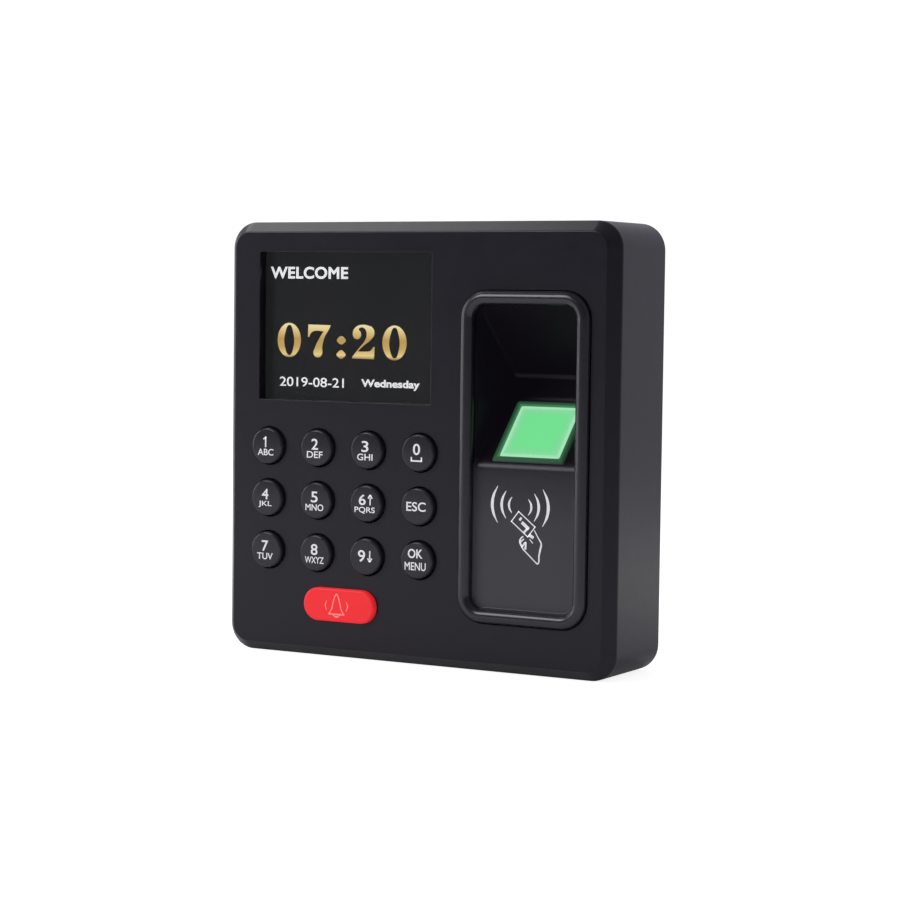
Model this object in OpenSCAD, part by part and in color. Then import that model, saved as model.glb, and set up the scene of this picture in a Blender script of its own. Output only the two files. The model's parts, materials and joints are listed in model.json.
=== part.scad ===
// Wall-mounted fingerprint and card access terminal, as separate parts.
// Axes: +X to the right seen from the front, +Y towards the wall, +Z up. The origin is the middle
// of the wall side. A depth is measured from the flat front face towards the wall.

/* [Body] */
// Width of the terminal
body_w = 116; // [114:1:120]
// Height of the terminal
body_h = 115; // [114:1:119]
// Depth from the flat front face to the wall
body_d = 29; // [27.5:0.5:30]
// Corner radius of the side walls, seen from the front
corner_r = 7; // [6:0.5:8]
// Depth of the bevel round the front
bevel_d = 3.2; // [2.8:0.1:3.4]
// Width of the bevel, seen from the front
bevel_w = 2.7; // [2:0.1:3]
// Thickness of the side walls
wall_t = 2.2; // [1.8:0.1:2.4]
// Thickness of the front face
front_t = 2.6; // [2.4:0.1:2.6]

/* [Display] */
// Width of the display opening
display_w = 52.8; // [50:0.1:53]
// Height of the display opening
display_h = 39.2; // [37:0.1:40]
// X of the middle of the display and the doorbell button
display_x = -21; // [-22:0.1:-20.5]
// Z of the middle of the display
display_z = 30; // [29.5:0.1:30.5]
// Depth of the display's cover below the front face
display_sink = 3; // [2.8:0.1:3.1]

/* [Keys] */
// Diameter of a keycap
key_dia = 9.6; // [9:0.1:10]
// Gap round a keycap in its hole
key_gap = 0.3; // [0.2:0.05:0.4]
// Height of a keycap above the front face
key_rise = 1.5; // [1.2:0.1:2]
// Distance between columns of keys
key_pitch_x = 15.5; // [15:0.1:16]
// Distance between rows of keys
key_pitch_z = 13.9; // [13:0.1:14]
// X of the middle of the left column
key_x = -43.9; // [-44:0.1:-43]
// Z of the middle of the top row
key_z = -2; // [-2.5:0.1:-1.5]
// Travel of every key
key_travel = 1; // [0.6:0.1:1.2]

/* [Doorbell button] */
// Length of the red button
bell_w = 21.8; // [20:0.1:22]
// Height of the red button
bell_h = 8.8; // [8:0.1:9]
// Z of its middle
bell_z = -43.2; // [-43.4:0.1:-43]

/* [Reader] */
// X of the middle of the reader
reader_x = 32.7; // [32.5:0.1:33]
// Z of the middle of the reader
reader_z = -2.4; // [-2.6:0.1:-2.2]
// Width over the raised frame
reader_w = 36.6; // [36:0.1:37]
// Height over the raised frame
reader_h = 84.6; // [84:0.1:85]
// Radius of the frame's round section, which is also its rise
bead_r = 1.85; // [1.6:0.05:2]
// Corner radius outside the frame
reader_r = 7; // [6.5:0.1:7.5]
// Lean of the sensor's shelf away from upright, in degrees
shelf_lean = 43.5; // [42:0.5:45]
// Side of the square sensor window
window_w = 17; // [16:0.1:17.4]

/* [Wall plate] */
// Distance between the wall screws, across and up
wall_pitch = 72; // [70:1:74]
// Radius of a wall screw's hole
wall_hole_r = 2.25; // [2:0.05:2.5]
// Distance between the two wall-box slots
box_pitch = 60.3; // [60:0.1:60.6]
// Half the width of a wall-box slot
box_hole_r = 2.1; // [1.8:0.1:2.2]
// Length of a wall-box slot
box_slot = 8; // [7:0.5:9]

/* [Hidden] */

$fn = 64;
eps = 0.01;
slip = 0.15;    // gap between parts that are assembled but don't move

// Depth layers, from the front face towards the wall
plate_t = 1.2;                            // steel wall plate
cover_t = 2;                              // rear cover
cover_d = body_d - plate_t - cover_t;     // front side of the rear cover
plate_d = body_d - plate_t;               // front side of the wall plate
window_t = 1.2;
gasket_w = 2;
lcd_d = display_sink + window_t + slip;   // front of the LCD glass
lcd_t = 2.3;
pcb_d = 9.4;                              // front side of the main board
pcb_t = 1.6;
back_d = pcb_d + pcb_t;                   // rear side of the main board
lcd_w = 60.3;
lcd_h = 42.7;
lcd_x = display_x + 2.8;                  // the glass is longer on the ribbon's side
mat_t = 1;
mat_d = pcb_d - mat_t;

// Corners of the case
rear_edge = 0.8;
inner_w = body_w - 2 * wall_t;
inner_h = body_h - 2 * wall_t;
inner_r = corner_r - wall_t;
boss_r = 2.6;
boss_inset = 3.6;
boss_x = inner_w / 2 - boss_inset;
boss_z = inner_h / 2 - boss_inset;
boss_hole_r = 1.1;
boss_hole_d = 12;                         // depth where a boss's screw hole starts

// Main board and its four supports
pcb_left = -54.4;
pcb_right = 13;
pcb_top = 46.5;
pcb_bottom = -48.4;
stand_r = 1.9;
stand_hole_r = 0.9;
stand_hole_d = 4.4;
root = 0.5;                               // how far a boss reaches into the front face
stands = [[-51.8, 40], [-51.8, -43], [10.35, 5.2], [10.35, -43]];

// Keys
key_r = key_dia / 2;
flange_d = front_t + slip;                // a key's flange rests behind the front face
flange_t = 0.8;
flange_w = 0.8;
stem_r = 2;
stem_end = 5.25;
dome_top = stem_end + 0.05;
pill_t = 0.4;
pill_end = pcb_d - key_travel - 0.1;      // a pill touches the board just past full travel
pill_start = pill_end - pill_t;
pill_r = 1.7;
bell_gap = 0.3;

// Reader frame: mouth, flange and recess
rim_w = 2 * bead_r;
mouth_w = reader_w - 2 * rim_w;
mouth_h = reader_h - 2 * rim_w;
mouth_r = reader_r - rim_w;
mouth_top = reader_z + mouth_h / 2;
mouth_bottom = reader_z - mouth_h / 2;
reader_flange_t = 1.6;
skin_t = 1.6;
panel_sink = 1;
panel_t = 1.8;
shelf_start = [panel_sink, -4.4];         // depth and Z of the shelf's front edge
shelf_dir = [sin(shelf_lean), cos(shelf_lean)];
shelf_normal = [-cos(shelf_lean), sin(shelf_lean)];
recess_d = 22.2;                          // depth of the recess's deepest edge
recess_z = shelf_start[1] + (recess_d - shelf_start[0]) / tan(shelf_lean);
roof_start = [2.2, mouth_top];
lip = [[1.3, -5], [1.08, -5.7], [panel_sink, -6.5]];
ear_r = 3.4;
ears = [for (sx = [-1, 1], z = [44.4, -49.2]) [reader_x + sx * 11.7, z]];
ear_pin_r = 1.5;
ear_pin_d = 5;
ear_hole_r = 0.7;
reader_flange_w = 2;                      // rim behind the front face

// Sensor: distances along the shelf from its front edge, and along its normal
window_u = 11.6;
seal_rim = 1.8;
seal_rise = 0.4;
window_rise = 0.15;
seal_w = window_w + 2 * seal_rim;
module_w = 21;
module_t = 1.1;
antenna_z = -24.6;
board_d = 21;
board_t = 1.2;
lens_z = -8;
sensor_screw_x = 8.4;
sensor_screw_z = -12.2;

// Wall plate, cable opening, hooks and lock screw
plate_w = 86;
plate_h = 92;
plate_r = 4;
cable_w = 36;
cable_h = 18;
cable_r = 2;
cable_x = -9;
cable_z = -13;
hook_x = 28;
hook_w = 12;
hook_reach = 3.5;
hook_rise = 3.6;
hook_room = 0.6;                          // gap beside a hook and the tab in the rear cover
hook_slot_bottom = 44.2;
hook_slot_top = 50.4;
tab_slot_top = -52.5;
tab_w = 12;
tab_z = -54.3;
tab_reach = 7.8;
lock_d = body_d - 5.5;                    // centre of the lock screw
lock_r = 1.45;
lock_hole_r = 1.7;
lock_sink_r = 4;
lock_sink_h = 2.3;
head_sink = 2.4;                          // room for a wall screw's head in the rear cover
cup_r = 5.5;
cup_t = 1;
tamper_x = -36;
tamper_z = -24;
tamper_r = 1.4;
cell_x = -15;
cell_z = 33;
cell_r = 10;                              // 2032 size cell

// ---------- Drawing helpers ----------

// Flat shape in X and Z, from depth d0 to depth d1
module layer(d0, d1) {
    translate([0, d1 - body_d, 0])
        rotate([90, 0, 0])
            linear_extrude(d1 - d0)
                children();
}

// Flat shape in depth and Z, from x0 to x1
module across(x0, x1) {
    translate([x0, -body_d, 0])
        rotate([90, 0, 90])
            linear_extrude(x1 - x0)
                children();
}

// Flat shape in X and depth, from z0 to z1
module upright(z0, z1) {
    translate([0, -body_d, z0])
        linear_extrude(z1 - z0)
            children();
}

// Solid of revolution about a line along Y. Its profile is radius and depth
module turned(x, z, profile) {
    translate([x, -body_d, z])
        rotate([-90, 0, 0])
            rotate_extrude()
                polygon(profile);
}

// Round rod along Y
module rod(x, z, r, d0, d1) {
    translate([x, d0 - body_d, z])
        rotate([-90, 0, 0])
            cylinder(r = r, h = d1 - d0);
}

// Box given by X, Z and depth ranges
module block(x0, x1, z0, z1, d0, d1) {
    translate([x0, d0 - body_d, z0])
        cube([x1 - x0, d1 - d0, z1 - z0]);
}

module rounded(w, h, r) {
    square([w - 2 * r, h], center = true);
    square([w, h - 2 * r], center = true);
    for (sx = [-1, 1], sz = [-1, 1])
        translate([sx * (w / 2 - r), sz * (h / 2 - r)])
            circle(r);
}

module rounded_at(x, z, w, h, r) {
    translate([x, z])
        rounded(w, h, r);
}

// Bar with two round ends, long side along X
module obround(w, h) {
    square([w - h, h], center = true);
    for (sx = [-1, 1])
        translate([sx * (w - h) / 2, 0])
            circle(h / 2);
}

// Children in the shelf's own frame: X across, Y up the slope, Z out of it
module on_shelf() {
    middle = shelf_start + window_u * shelf_dir;
    translate([reader_x, middle[0] - body_d, middle[1]])
        rotate([90 - shelf_lean, 0, 0])
            children();
}

// Point in depth and Z, from distances along the shelf and below it
function under_shelf(u, below) = shelf_start + u * shelf_dir - below * shelf_normal;

module box_centred(w, h, z0, z1) {
    translate([-w / 2, -h / 2, z0])
        cube([w, h, z1 - z0]);
}

function key_pos(col, row) = [key_x + col * key_pitch_x, key_z - row * key_pitch_z];
key_places = [for (row = [0:2], col = [0:3]) key_pos(col, row)];
dome_places = concat(key_places, [[display_x, bell_z]]);

// ---------- Case ----------

// Edge of the case from front to back, for a wall at distance reach from its middle
function case_edge(reach) = [[reach - bevel_w, 0], [reach, bevel_d], [reach, body_d - rear_edge],
    [reach - rear_edge, body_d]];

// Depth and distance outline of the case between its two opposite walls
function case_band(reach) = let (e = case_edge(reach))
    concat([for (p = e) [p[1], p[0]]], [for (i = [3:-1:0]) [e[i][1], -e[i][0]]]);

module case_block() {
    flat_x = body_w / 2 - corner_r;
    flat_z = body_h / 2 - corner_r;
    across(-flat_x, flat_x)
        polygon(case_band(body_h / 2));
    upright(-flat_z, flat_z)
        polygon([for (p = case_band(body_w / 2)) [p[1], p[0]]]);
    for (sx = [-1, 1], sz = [-1, 1])
        turned(sx * flat_x, sz * flat_z, concat([[0, 0]], case_edge(corner_r), [[0, body_d]]));
}

module front_housing() {
    color("#2b2b30")
    difference() {
        union() {
            difference() {
                case_block();
                layer(front_t, body_d + 1)
                    rounded(inner_w, inner_h, inner_r);
            }
            for (sx = [-1, 1], sz = [-1, 1])
                rod(sx * boss_x, sz * boss_z, boss_r, front_t - root, cover_d);
            for (p = stands)
                rod(p[0], p[1], stand_r, front_t - root, pcb_d);
            for (p = ears)
                rod(p[0], p[1], ear_pin_r, front_t - root, ear_pin_d);
        }
        layer(-1, front_t + 1)
            rounded_at(display_x, display_z, display_w, display_h, 0.4);
        layer(-1, front_t + 0.4)
            rounded_at(reader_x, reader_z, reader_w + 2 * slip, reader_h + 2 * slip, reader_r + slip);
        for (p = key_places)
            rod(p[0], p[1], key_r + key_gap, -1, front_t + 1);
        layer(-1, front_t + 1)
            translate([display_x, bell_z])
                obround(bell_w + 2 * bell_gap, bell_h + 2 * bell_gap);
        for (sx = [-1, 1], sz = [-1, 1])
            rod(sx * boss_x, sz * boss_z, boss_hole_r, boss_hole_d, cover_d + 1);
        for (p = stands)
            rod(p[0], p[1], stand_hole_r, stand_hole_d, pcb_d + 1);
        for (p = ears)
            rod(p[0], p[1], ear_hole_r, front_t, ear_pin_d + 1);
        translate([0, lock_d - body_d, -body_h / 2 - 1]) {
            cylinder(r = lock_hole_r, h = wall_t + 2);
            cylinder(r1 = lock_sink_r, r2 = lock_hole_r, h = lock_sink_h);
        }
    }
}

module rear_cover() {
    fit_w = inner_w - 2 * slip;
    fit_h = inner_h - 2 * slip;
    corner_cups = [for (sx = [-1, 1], sz = [-1, 1]) [sx * wall_pitch / 2, sz * wall_pitch / 2]];
    box_cups = [for (sz = [-1, 1]) [0, sz * box_pitch / 2]];
    color("#26262a")
    difference() {
        union() {
            layer(cover_d, plate_d)
                rounded(fit_w, fit_h, inner_r - slip);
            for (c = corner_cups)
                rod(c[0], c[1], cup_r, plate_d - head_sink - cup_t, plate_d - eps);
            for (c = box_cups)
                layer(plate_d - head_sink - cup_t, plate_d - eps)
                    rounded_at(c[0], c[1], 2 * cup_r, 2 * cup_r + 4, cup_r - eps);
        }
        for (c = corner_cups)
            rod(c[0], c[1], cup_r - cup_t, plate_d - head_sink, plate_d + 1);
        for (c = box_cups)
            layer(plate_d - head_sink, plate_d + 1)
                rounded_at(c[0], c[1], 2 * (cup_r - cup_t), 2 * (cup_r - cup_t) + 4, cup_r - cup_t - eps);
        layer(cover_d - 1, plate_d + 1)
            rounded_at(cable_x, cable_z, cable_w, cable_h, cable_r);
        for (x = [-hook_x, hook_x])
            block(x - hook_w / 2 - hook_room, x + hook_w / 2 + hook_room,
                hook_slot_bottom, hook_slot_top, cover_d - 1, plate_d + 1);
        block(-tab_w / 2 - hook_room, tab_w / 2 + hook_room, -body_h / 2, tab_slot_top,
            cover_d - 1, plate_d + 1);
        for (sx = [-1, 1], sz = [-1, 1]) {
            rod(sx * boss_x, sz * boss_z, 1.3, cover_d - 1, plate_d + 1);
            turned(sx * boss_x, sz * boss_z, [[0, plate_d - 1.3], [1.2, plate_d - 1.3],
                [2.6, plate_d + 0.1], [0, plate_d + 0.1]]);
        }
        rod(tamper_x, tamper_z, tamper_r + 0.5, cover_d - 1, plate_d + 1);
    }
}

module wall_plate() {
    hook_z = plate_h / 2 - plate_t;
    hook_end = plate_d - hook_reach;
    color("#b9bcc0")
    difference() {
        union() {
            layer(plate_d, body_d)
                rounded(plate_w, plate_h, plate_r);
            block(-tab_w / 2, tab_w / 2, tab_z, -plate_h / 2 + 1, plate_d, body_d);
            block(-tab_w / 2, tab_w / 2, tab_z, tab_z + plate_t, plate_d - tab_reach, plate_d);
            for (x = [-hook_x, hook_x]) {
                block(x - hook_w / 2, x + hook_w / 2, hook_z, hook_z + plate_t, hook_end, plate_d);
                block(x - hook_w / 2, x + hook_w / 2, hook_z, hook_z + plate_t + hook_rise,
                    hook_end, hook_end + plate_t);
            }
        }
        for (sx = [-1, 1], sz = [-1, 1])
            rod(sx * wall_pitch / 2, sz * wall_pitch / 2, wall_hole_r, plate_d - 1, body_d + 1);
        for (sz = [-1, 1])
            layer(plate_d - 1, body_d + 1)
                translate([0, sz * box_pitch / 2])
                    rotate([0, 0, 90])
                        obround(box_slot, 2 * box_hole_r);
        layer(plate_d - 1, body_d + 1)
            rounded_at(cable_x, cable_z, cable_w, cable_h, cable_r);
        translate([0, lock_d - body_d, tab_z - 1])
            cylinder(r = 1.5, h = plate_t + 2);
    }
}

module lock_screw() {
    color("#c8cace")
    translate([0, lock_d - body_d, -body_h / 2])
        difference() {
            union() {
                cylinder(r1 = 2 * lock_r, r2 = lock_r, h = 1.5);
                cylinder(r = lock_r, h = 6.4);
            }
            translate([0, 0, -eps])
                cylinder(r = 1.1, h = 1, $fn = 6);
        }
}

module case_screws() {
    head_t = 1.2;
    color("#8d9094")
    for (sx = [-1, 1], sz = [-1, 1])
        difference() {
            turned(sx * boss_x, sz * boss_z, [[0, 13], [1.05, 13.6], [1.05, plate_d - head_t],
                [2.3, plate_d - 0.1], [0, plate_d - 0.1]]);
            block(sx * boss_x - 1.3, sx * boss_x + 1.3, sz * boss_z - 0.25, sz * boss_z + 0.25,
                plate_d - 0.8, plate_d + 1);
            block(sx * boss_x - 0.25, sx * boss_x + 0.25, sz * boss_z - 1.3, sz * boss_z + 1.3,
                plate_d - 0.8, plate_d + 1);
        }
}

// ---------- Reader ----------

// Depth and Z outline of the recess's skin: the surface, then the same lines moved outwards
function out_of_roof() = let (v = [recess_d, recess_z] - roof_start)
    skin_t * [-v[1], v[0]] / norm(v);
module recess_outline(with_surface) {
    back = [recess_d, recess_z];
    roof_out = out_of_roof();
    shelf_out = -skin_t * shelf_normal;
    outside = [roof_start + [0, 1.6], roof_start + roof_out, back + roof_out, back + [skin_t, 0],
        back + shelf_out, shelf_start + shelf_out + 1.5 * shelf_dir, [panel_sink + panel_t, -6.5]];
    if (with_surface)
        polygon(concat([back, roof_start], outside, [lip[2], lip[1], lip[0],
            shelf_start + 0.6 * shelf_dir]));
    else
        polygon(concat(outside, [[panel_sink, -6.5], [panel_sink, mouth_top]]));
}

module bead_ring() {
    half_w = reader_w / 2 - reader_r;
    half_h = reader_h / 2 - reader_r;
    path_r = reader_r - bead_r;
    translate([reader_x, -body_d, reader_z]) {
        for (corner = [[1, 1, 0], [-1, 1, 90], [-1, -1, 180], [1, -1, 270]])
            translate([corner[0] * half_w, 0, corner[1] * half_h])
                rotate([90, 0, 0])
                    rotate([0, 0, corner[2]])
                        rotate_extrude(angle = 90)
                            translate([path_r, 0])
                                circle(bead_r);
        for (s = [-1, 1]) {
            translate([s * (reader_w / 2 - bead_r), 0, -half_h])
                cylinder(r = bead_r, h = 2 * half_h);
            translate([-half_w, 0, s * (reader_h / 2 - bead_r)])
                rotate([0, 90, 0])
                    cylinder(r = bead_r, h = 2 * half_w);
        }
    }
}

module reader_frame() {
    x0 = reader_x - mouth_w / 2;
    x1 = reader_x + mouth_w / 2;
    color("#2e2e33")
    difference() {
        union() {
            bead_ring();
            difference() {
                union() {
                    layer(0, front_t)
                        rounded_at(reader_x, reader_z, reader_w, reader_h, reader_r);
                    layer(front_t, front_t + reader_flange_t) {
                        rounded_at(reader_x, reader_z, reader_w + 2 * reader_flange_w,
                            reader_h + 2 * reader_flange_w, reader_r + reader_flange_w);
                        for (p = ears)
                            translate(p)
                                circle(ear_r);
                    }
                }
                layer(-1, front_t + reader_flange_t + 1)
                    rounded_at(reader_x, reader_z, mouth_w, mouth_h, mouth_r);
                for (p = ears)
                    rod(p[0], p[1], ear_pin_r + slip, 0, 10);
            }
            across(x0 - 0.2, x1 + 0.2)
                recess_outline(true);
            for (x = [x0 - skin_t, x1])
                across(x, x + skin_t)
                    recess_outline(false);
            layer(panel_sink, panel_sink + panel_t)
                translate([x0 - 0.2, mouth_bottom - 0.2])
                    square([mouth_w + 0.4, -6.5 - mouth_bottom + 0.2]);
        }
        on_shelf()
            box_centred(seal_w + 0.2, seal_w + 0.2, -skin_t - 1, 3);
    }
}

module reader_screws() {
    color("#8d9094")
    for (p = ears)
        turned(p[0], p[1], [[0, 3], [0.65, 3.3], [0.65, ear_pin_d], [2.2, ear_pin_d],
            [2.2, ear_pin_d + 0.7], [1.4, ear_pin_d + 1.2], [0, ear_pin_d + 1.2]]);
}

module sensor_seal() {
    color("#1c1c1e")
    on_shelf()
    difference() {
        union() {
            box_centred(seal_w, seal_w, -skin_t, 0);
            hull() {
                box_centred(seal_w, seal_w, -eps, 0);
                box_centred(window_w + 1.2, window_w + 1.2, seal_rise - eps, seal_rise);
            }
        }
        box_centred(window_w, window_w, -skin_t - 1, seal_rise + 1);
    }
}

module sensor_window() {
    color("#7be598")
    on_shelf()
        box_centred(window_w, window_w, -skin_t, window_rise);
}

module sensor_prism() {
    top = skin_t + 0.05;
    color("#bfe8cf")
    across(reader_x - 7.8, reader_x + 7.8)
        polygon([under_shelf(window_u - 7.8, top), under_shelf(window_u + 7.8, top),
            under_shelf(window_u, 8.6)]);
}

module sensor_housing() {
    front = skin_t + 0.02;
    shell = [under_shelf(2.6, front), under_shelf(20.8, front), [board_d, under_shelf(20.8, front)[1]],
        [board_d, -14.6], [10.5, -14.6], [5.2, -7.6]];
    lid = skin_t + 0.02 + module_t;
    room = [under_shelf(3.8, lid), under_shelf(19.6, lid), [board_d + 1, under_shelf(19.6, lid)[1] - 0.3],
        [board_d + 1, -13.4], [11, -13.4], [6.4, -7.4]];
    color("#1e1e20")
    difference() {
        across(reader_x - module_w / 2, reader_x + module_w / 2)
            polygon(shell);
        difference() {
            across(reader_x - module_w / 2 + module_t, reader_x + module_w / 2 - module_t)
                polygon(room);
            for (sx = [-1, 1])
                rod(reader_x + sx * sensor_screw_x, sensor_screw_z, 1.8, 10, board_d);
        }
        on_shelf()
            box_centred(16, 16, -4, 0);
        for (sx = [-1, 1])
            rod(reader_x + sx * sensor_screw_x, sensor_screw_z, 0.75, 15, board_d + 1);
    }
}

module sensor_lens() {
    color("#303034")
    difference() {
        union() {
            rod(reader_x, lens_z, 2.6, 15.6, 18.4);
            rod(reader_x, lens_z, 4.2, 18.4, 19.7);
        }
        turned(reader_x, lens_z, [[0, 15], [2, 15], [1.2, 17], [0, 17]]);
    }
}

module image_sensor() {
    color("#202226")
    block(reader_x - 3, reader_x + 3, lens_z - 3, lens_z + 3, 19.9, board_d);
}

module sensor_leds() {
    color("#d8f5e0")
    for (sx = [-1, 1], z = [1.5, 5.5])
        block(reader_x + sx * 5 - 1, reader_x + sx * 5 + 1, z - 0.8, z + 0.8, board_d - 1, board_d);
}

module sensor_board() {
    color("#1f5a38")
    difference() {
        block(reader_x - 11.2, reader_x + 11.2, -15, 10.5, board_d, board_d + board_t);
        for (sx = [-1, 1])
            rod(reader_x + sx * sensor_screw_x, sensor_screw_z, 1, board_d - 1, board_d + 2);
    }
}

module sensor_screws() {
    top = board_d + board_t;
    color("#8d9094")
    for (sx = [-1, 1])
        turned(reader_x + sx * sensor_screw_x, sensor_screw_z, [[0, 15.6], [0.7, 16], [0.7, top],
            [1.6, top], [1.6, top + 0.6], [1.1, top + 1], [0, top + 1]]);
}

module sensor_ribbon() {
    t = 0.3;
    left = reader_x - 11.2;
    color("#d9b56a")
    upright(-14.5, -8)
        polygon([[left, board_d + 0.5], [left - 3.5, board_d + 0.5], [12.6, back_d + t + 0.3],
            [12.2, back_d + t], [9.2, back_d + t], [9.2, back_d], [12.4, back_d], [12.9, back_d + 0.2],
            [left - 3.3, board_d + 0.5 - t], [left, board_d + 0.5 - t]]);
}

module antenna_board() {
    color("#23402f")
    layer(panel_sink + panel_t + slip, panel_sink + panel_t + slip + 0.8)
        translate([reader_x, antenna_z])
            rounded(26.4, 31, 1.5);
}

module antenna_coil() {
    d0 = panel_sink + panel_t + slip + 0.8;
    turns = 4;
    pitch = 0.9;
    wire = 0.45;
    color("#b87333")
    for (i = [0:turns - 1])
        layer(d0, d0 + wire)
            translate([reader_x, antenna_z])
                difference() {
                    rounded(24 - 2 * i * pitch, 28.6 - 2 * i * pitch, 3);
                    rounded(24 - 2 * i * pitch - 2 * wire, 28.6 - 2 * i * pitch - 2 * wire, 3 - wire);
                }
}

// ---------- Display ----------

module display_gasket() {
    color("#141416")
    layer(front_t, display_sink)
        difference() {
            rounded_at(display_x, display_z, display_w + 2 * gasket_w, display_h + 2 * gasket_w, 1);
            rounded_at(display_x, display_z, display_w, display_h, 0.4);
        }
}

module display_window() {
    color("#1a1a1c")
    layer(display_sink, display_sink + window_t)
        rounded_at(display_x, display_z, display_w + 2 * gasket_w, display_h + 2 * gasket_w, 1);
}

module lcd_panel() {
    color("#101114")
    layer(lcd_d, lcd_d + lcd_t)
        translate([lcd_x - lcd_w / 2, display_z - lcd_h / 2])
            square([lcd_w, lcd_h]);
}

module lcd_frame() {
    side = 0.6;
    x0 = lcd_x - lcd_w / 2;
    x1 = lcd_x + lcd_w / 2;
    z0 = display_z - lcd_h / 2;
    z1 = display_z + lcd_h / 2;
    back = lcd_d + lcd_t;
    color("#c9cbd0") {
        block(x0 - side, x1, z0 - side, z1 + side, back, back + side);
        block(x0 - side, x0, z0 - side, z1 + side, lcd_d + 0.4, back + side);
        block(x0, x1, z0 - side, z0, lcd_d + 0.4, back + side);
        block(x0, x1, z1, z1 + side, lcd_d + 0.4, back + side);
        for (x = [x0 + 3, x1 - 6], z = [z0 + 3, z1 - 6])
            block(x, x + 3, z, z + 3, back + side - eps, pcb_d);
    }
}

module lcd_ribbon() {
    t = 0.3;
    x0 = lcd_x + lcd_w / 2;
    reach = 2;
    front = lcd_d + 1;
    end = pcb_d - 0.05;
    color("#d9b56a")
    upright(display_z - 9, display_z + 9)
        polygon([[x0, front], [x0 + reach - 0.6, front], [x0 + reach, front + 0.6],
            [x0 + reach, end - 0.6], [x0 + reach - 0.6, end], [x0 - 4, end], [x0 - 4, end - t],
            [x0 + reach - 0.8, end - t], [x0 + reach - t, end - 0.8],
            [x0 + reach - t, front + 0.8], [x0 + reach - 0.8, front + t], [x0, front + t]]);
}

// ---------- Keypad ----------

module keycap(p) {
    round_r = 0.5;
    top = -key_rise;
    profile = concat(
        [[0, top - 0.02], [key_r * 0.55, top], [key_r - round_r - 0.35, top + 0.08]],
        [for (a = [75:-15:0]) [key_r - round_r + round_r * cos(a), top + 0.12 + round_r - round_r * sin(a)]],
        [[key_r, flange_d], [key_r + flange_w, flange_d], [key_r + flange_w, flange_d + flange_t],
            [stem_r, flange_d + flange_t], [stem_r, stem_end], [0, stem_end]]);
    color("#1b1b1e")
        turned(p[0], p[1], profile);
}

module key_1() { keycap(key_pos(0, 0)); }
module key_2() { keycap(key_pos(1, 0)); }
module key_3() { keycap(key_pos(2, 0)); }
module key_0() { keycap(key_pos(3, 0)); }
module key_4() { keycap(key_pos(0, 1)); }
module key_5() { keycap(key_pos(1, 1)); }
module key_6() { keycap(key_pos(2, 1)); }
module key_esc() { keycap(key_pos(3, 1)); }
module key_7() { keycap(key_pos(0, 2)); }
module key_8() { keycap(key_pos(1, 2)); }
module key_9() { keycap(key_pos(2, 2)); }
module key_ok() { keycap(key_pos(3, 2)); }

module bell_layer(d0, d1, inset) {
    layer(d0, d1)
        translate([display_x, bell_z])
            obround(bell_w - 2 * inset, bell_h - 2 * inset);
}

module doorbell_button() {
    top = -key_rise;
    color("#e0343a") {
        bell_layer(top, top + 0.15, 0.7);
        bell_layer(top + 0.15, top + 0.35, 0.35);
        bell_layer(top + 0.35, top + 0.7, 0.12);
        bell_layer(top + 0.7, flange_d, 0);
        bell_layer(flange_d, flange_d + flange_t, -flange_w);
        rod(display_x, bell_z, stem_r, flange_d + flange_t, stem_end);
    }
}

module keypad_mat() {
    left = -49.7;
    right = 8.2;
    top = 5;
    bottom = -48.1;
    skirt_r = 4.1;
    hole_r = 3.5;
    color("#8e9094")
    difference() {
        union() {
            layer(mat_d, pcb_d)
                translate([left, bottom])
                    square([right - left, top - bottom]);
            for (p = dome_places)
                turned(p[0], p[1], [[0, dome_top], [2.4, dome_top], [2.6, 6.2], [skirt_r - 0.3, 7.7],
                    [skirt_r, mat_d], [skirt_r, mat_d + 0.2], [0, mat_d + 0.2]]);
        }
        for (p = dome_places)
            turned(p[0], p[1], [[2, pcb_d + 1], [2, pill_start], [1.9, 6.7], [2.5, 6.9],
                [hole_r, mat_d], [hole_r, pcb_d + 1]]);
        for (p = dome_places)
            rod(p[0], p[1], 2.05, pill_start, pcb_d + 1);
    }
}

module contact_pills() {
    color("#2a2a2c")
    for (p = dome_places)
        rod(p[0], p[1], pill_r, pill_start, pill_end);
}

// ---------- Electronics ----------

module main_pcb() {
    color("#1f5a38")
    difference() {
        block(pcb_left, pcb_right, pcb_bottom, pcb_top, pcb_d, back_d);
        for (p = stands)
            rod(p[0], p[1], 1.2, pcb_d - 1, back_d + 1);
    }
}

module pcb_screws() {
    color("#8d9094")
    for (p = stands)
        turned(p[0], p[1], [[0, 5], [0.85, 5.4], [0.85, back_d], [1.9, back_d], [1.9, back_d + 0.8],
            [1.3, back_d + 1.3], [0, back_d + 1.3]]);
}

module main_chip() {
    legs = 12;
    color("#18181a") {
        block(-29, -15, 2, 16, back_d + 0.1, back_d + 1.5);
        for (i = [0:legs - 1], s = [-1, 1]) {
            block(-28.3 + i * 1.14, -27.9 + i * 1.14, s > 0 ? 16 - eps : 1, s > 0 ? 17 : 2 + eps,
                back_d, back_d + 0.6);
            block(s > 0 ? -15 - eps : -30, s > 0 ? -14 : -29 + eps, 2.7 + i * 1.14, 3.1 + i * 1.14,
                back_d, back_d + 0.6);
        }
    }
}

module small_chips() {
    color("#1a1a1c")
    for (c = [[-40, 4, 5, 6], [-34, -8, 4, 5], [2, 14, 8, 5], [-40, -40, 7, 5], [-8, -42, 5, 4]])
        block(c[0] - c[2] / 2, c[0] + c[2] / 2, c[1] - c[3] / 2, c[1] + c[3] / 2,
            back_d, back_d + 1.5);
}

module capacitors() {
    r = 3.1;
    color("#30384c")
    for (z = [8, 0, -8])
        turned(-48, z, [[0, back_d], [r, back_d], [r, back_d + 1], [r - 0.25, back_d + 1.3],
            [r, back_d + 1.6], [r, back_d + 7.7], [r - 0.3, back_d + 8], [0, back_d + 8]]);
}

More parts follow.
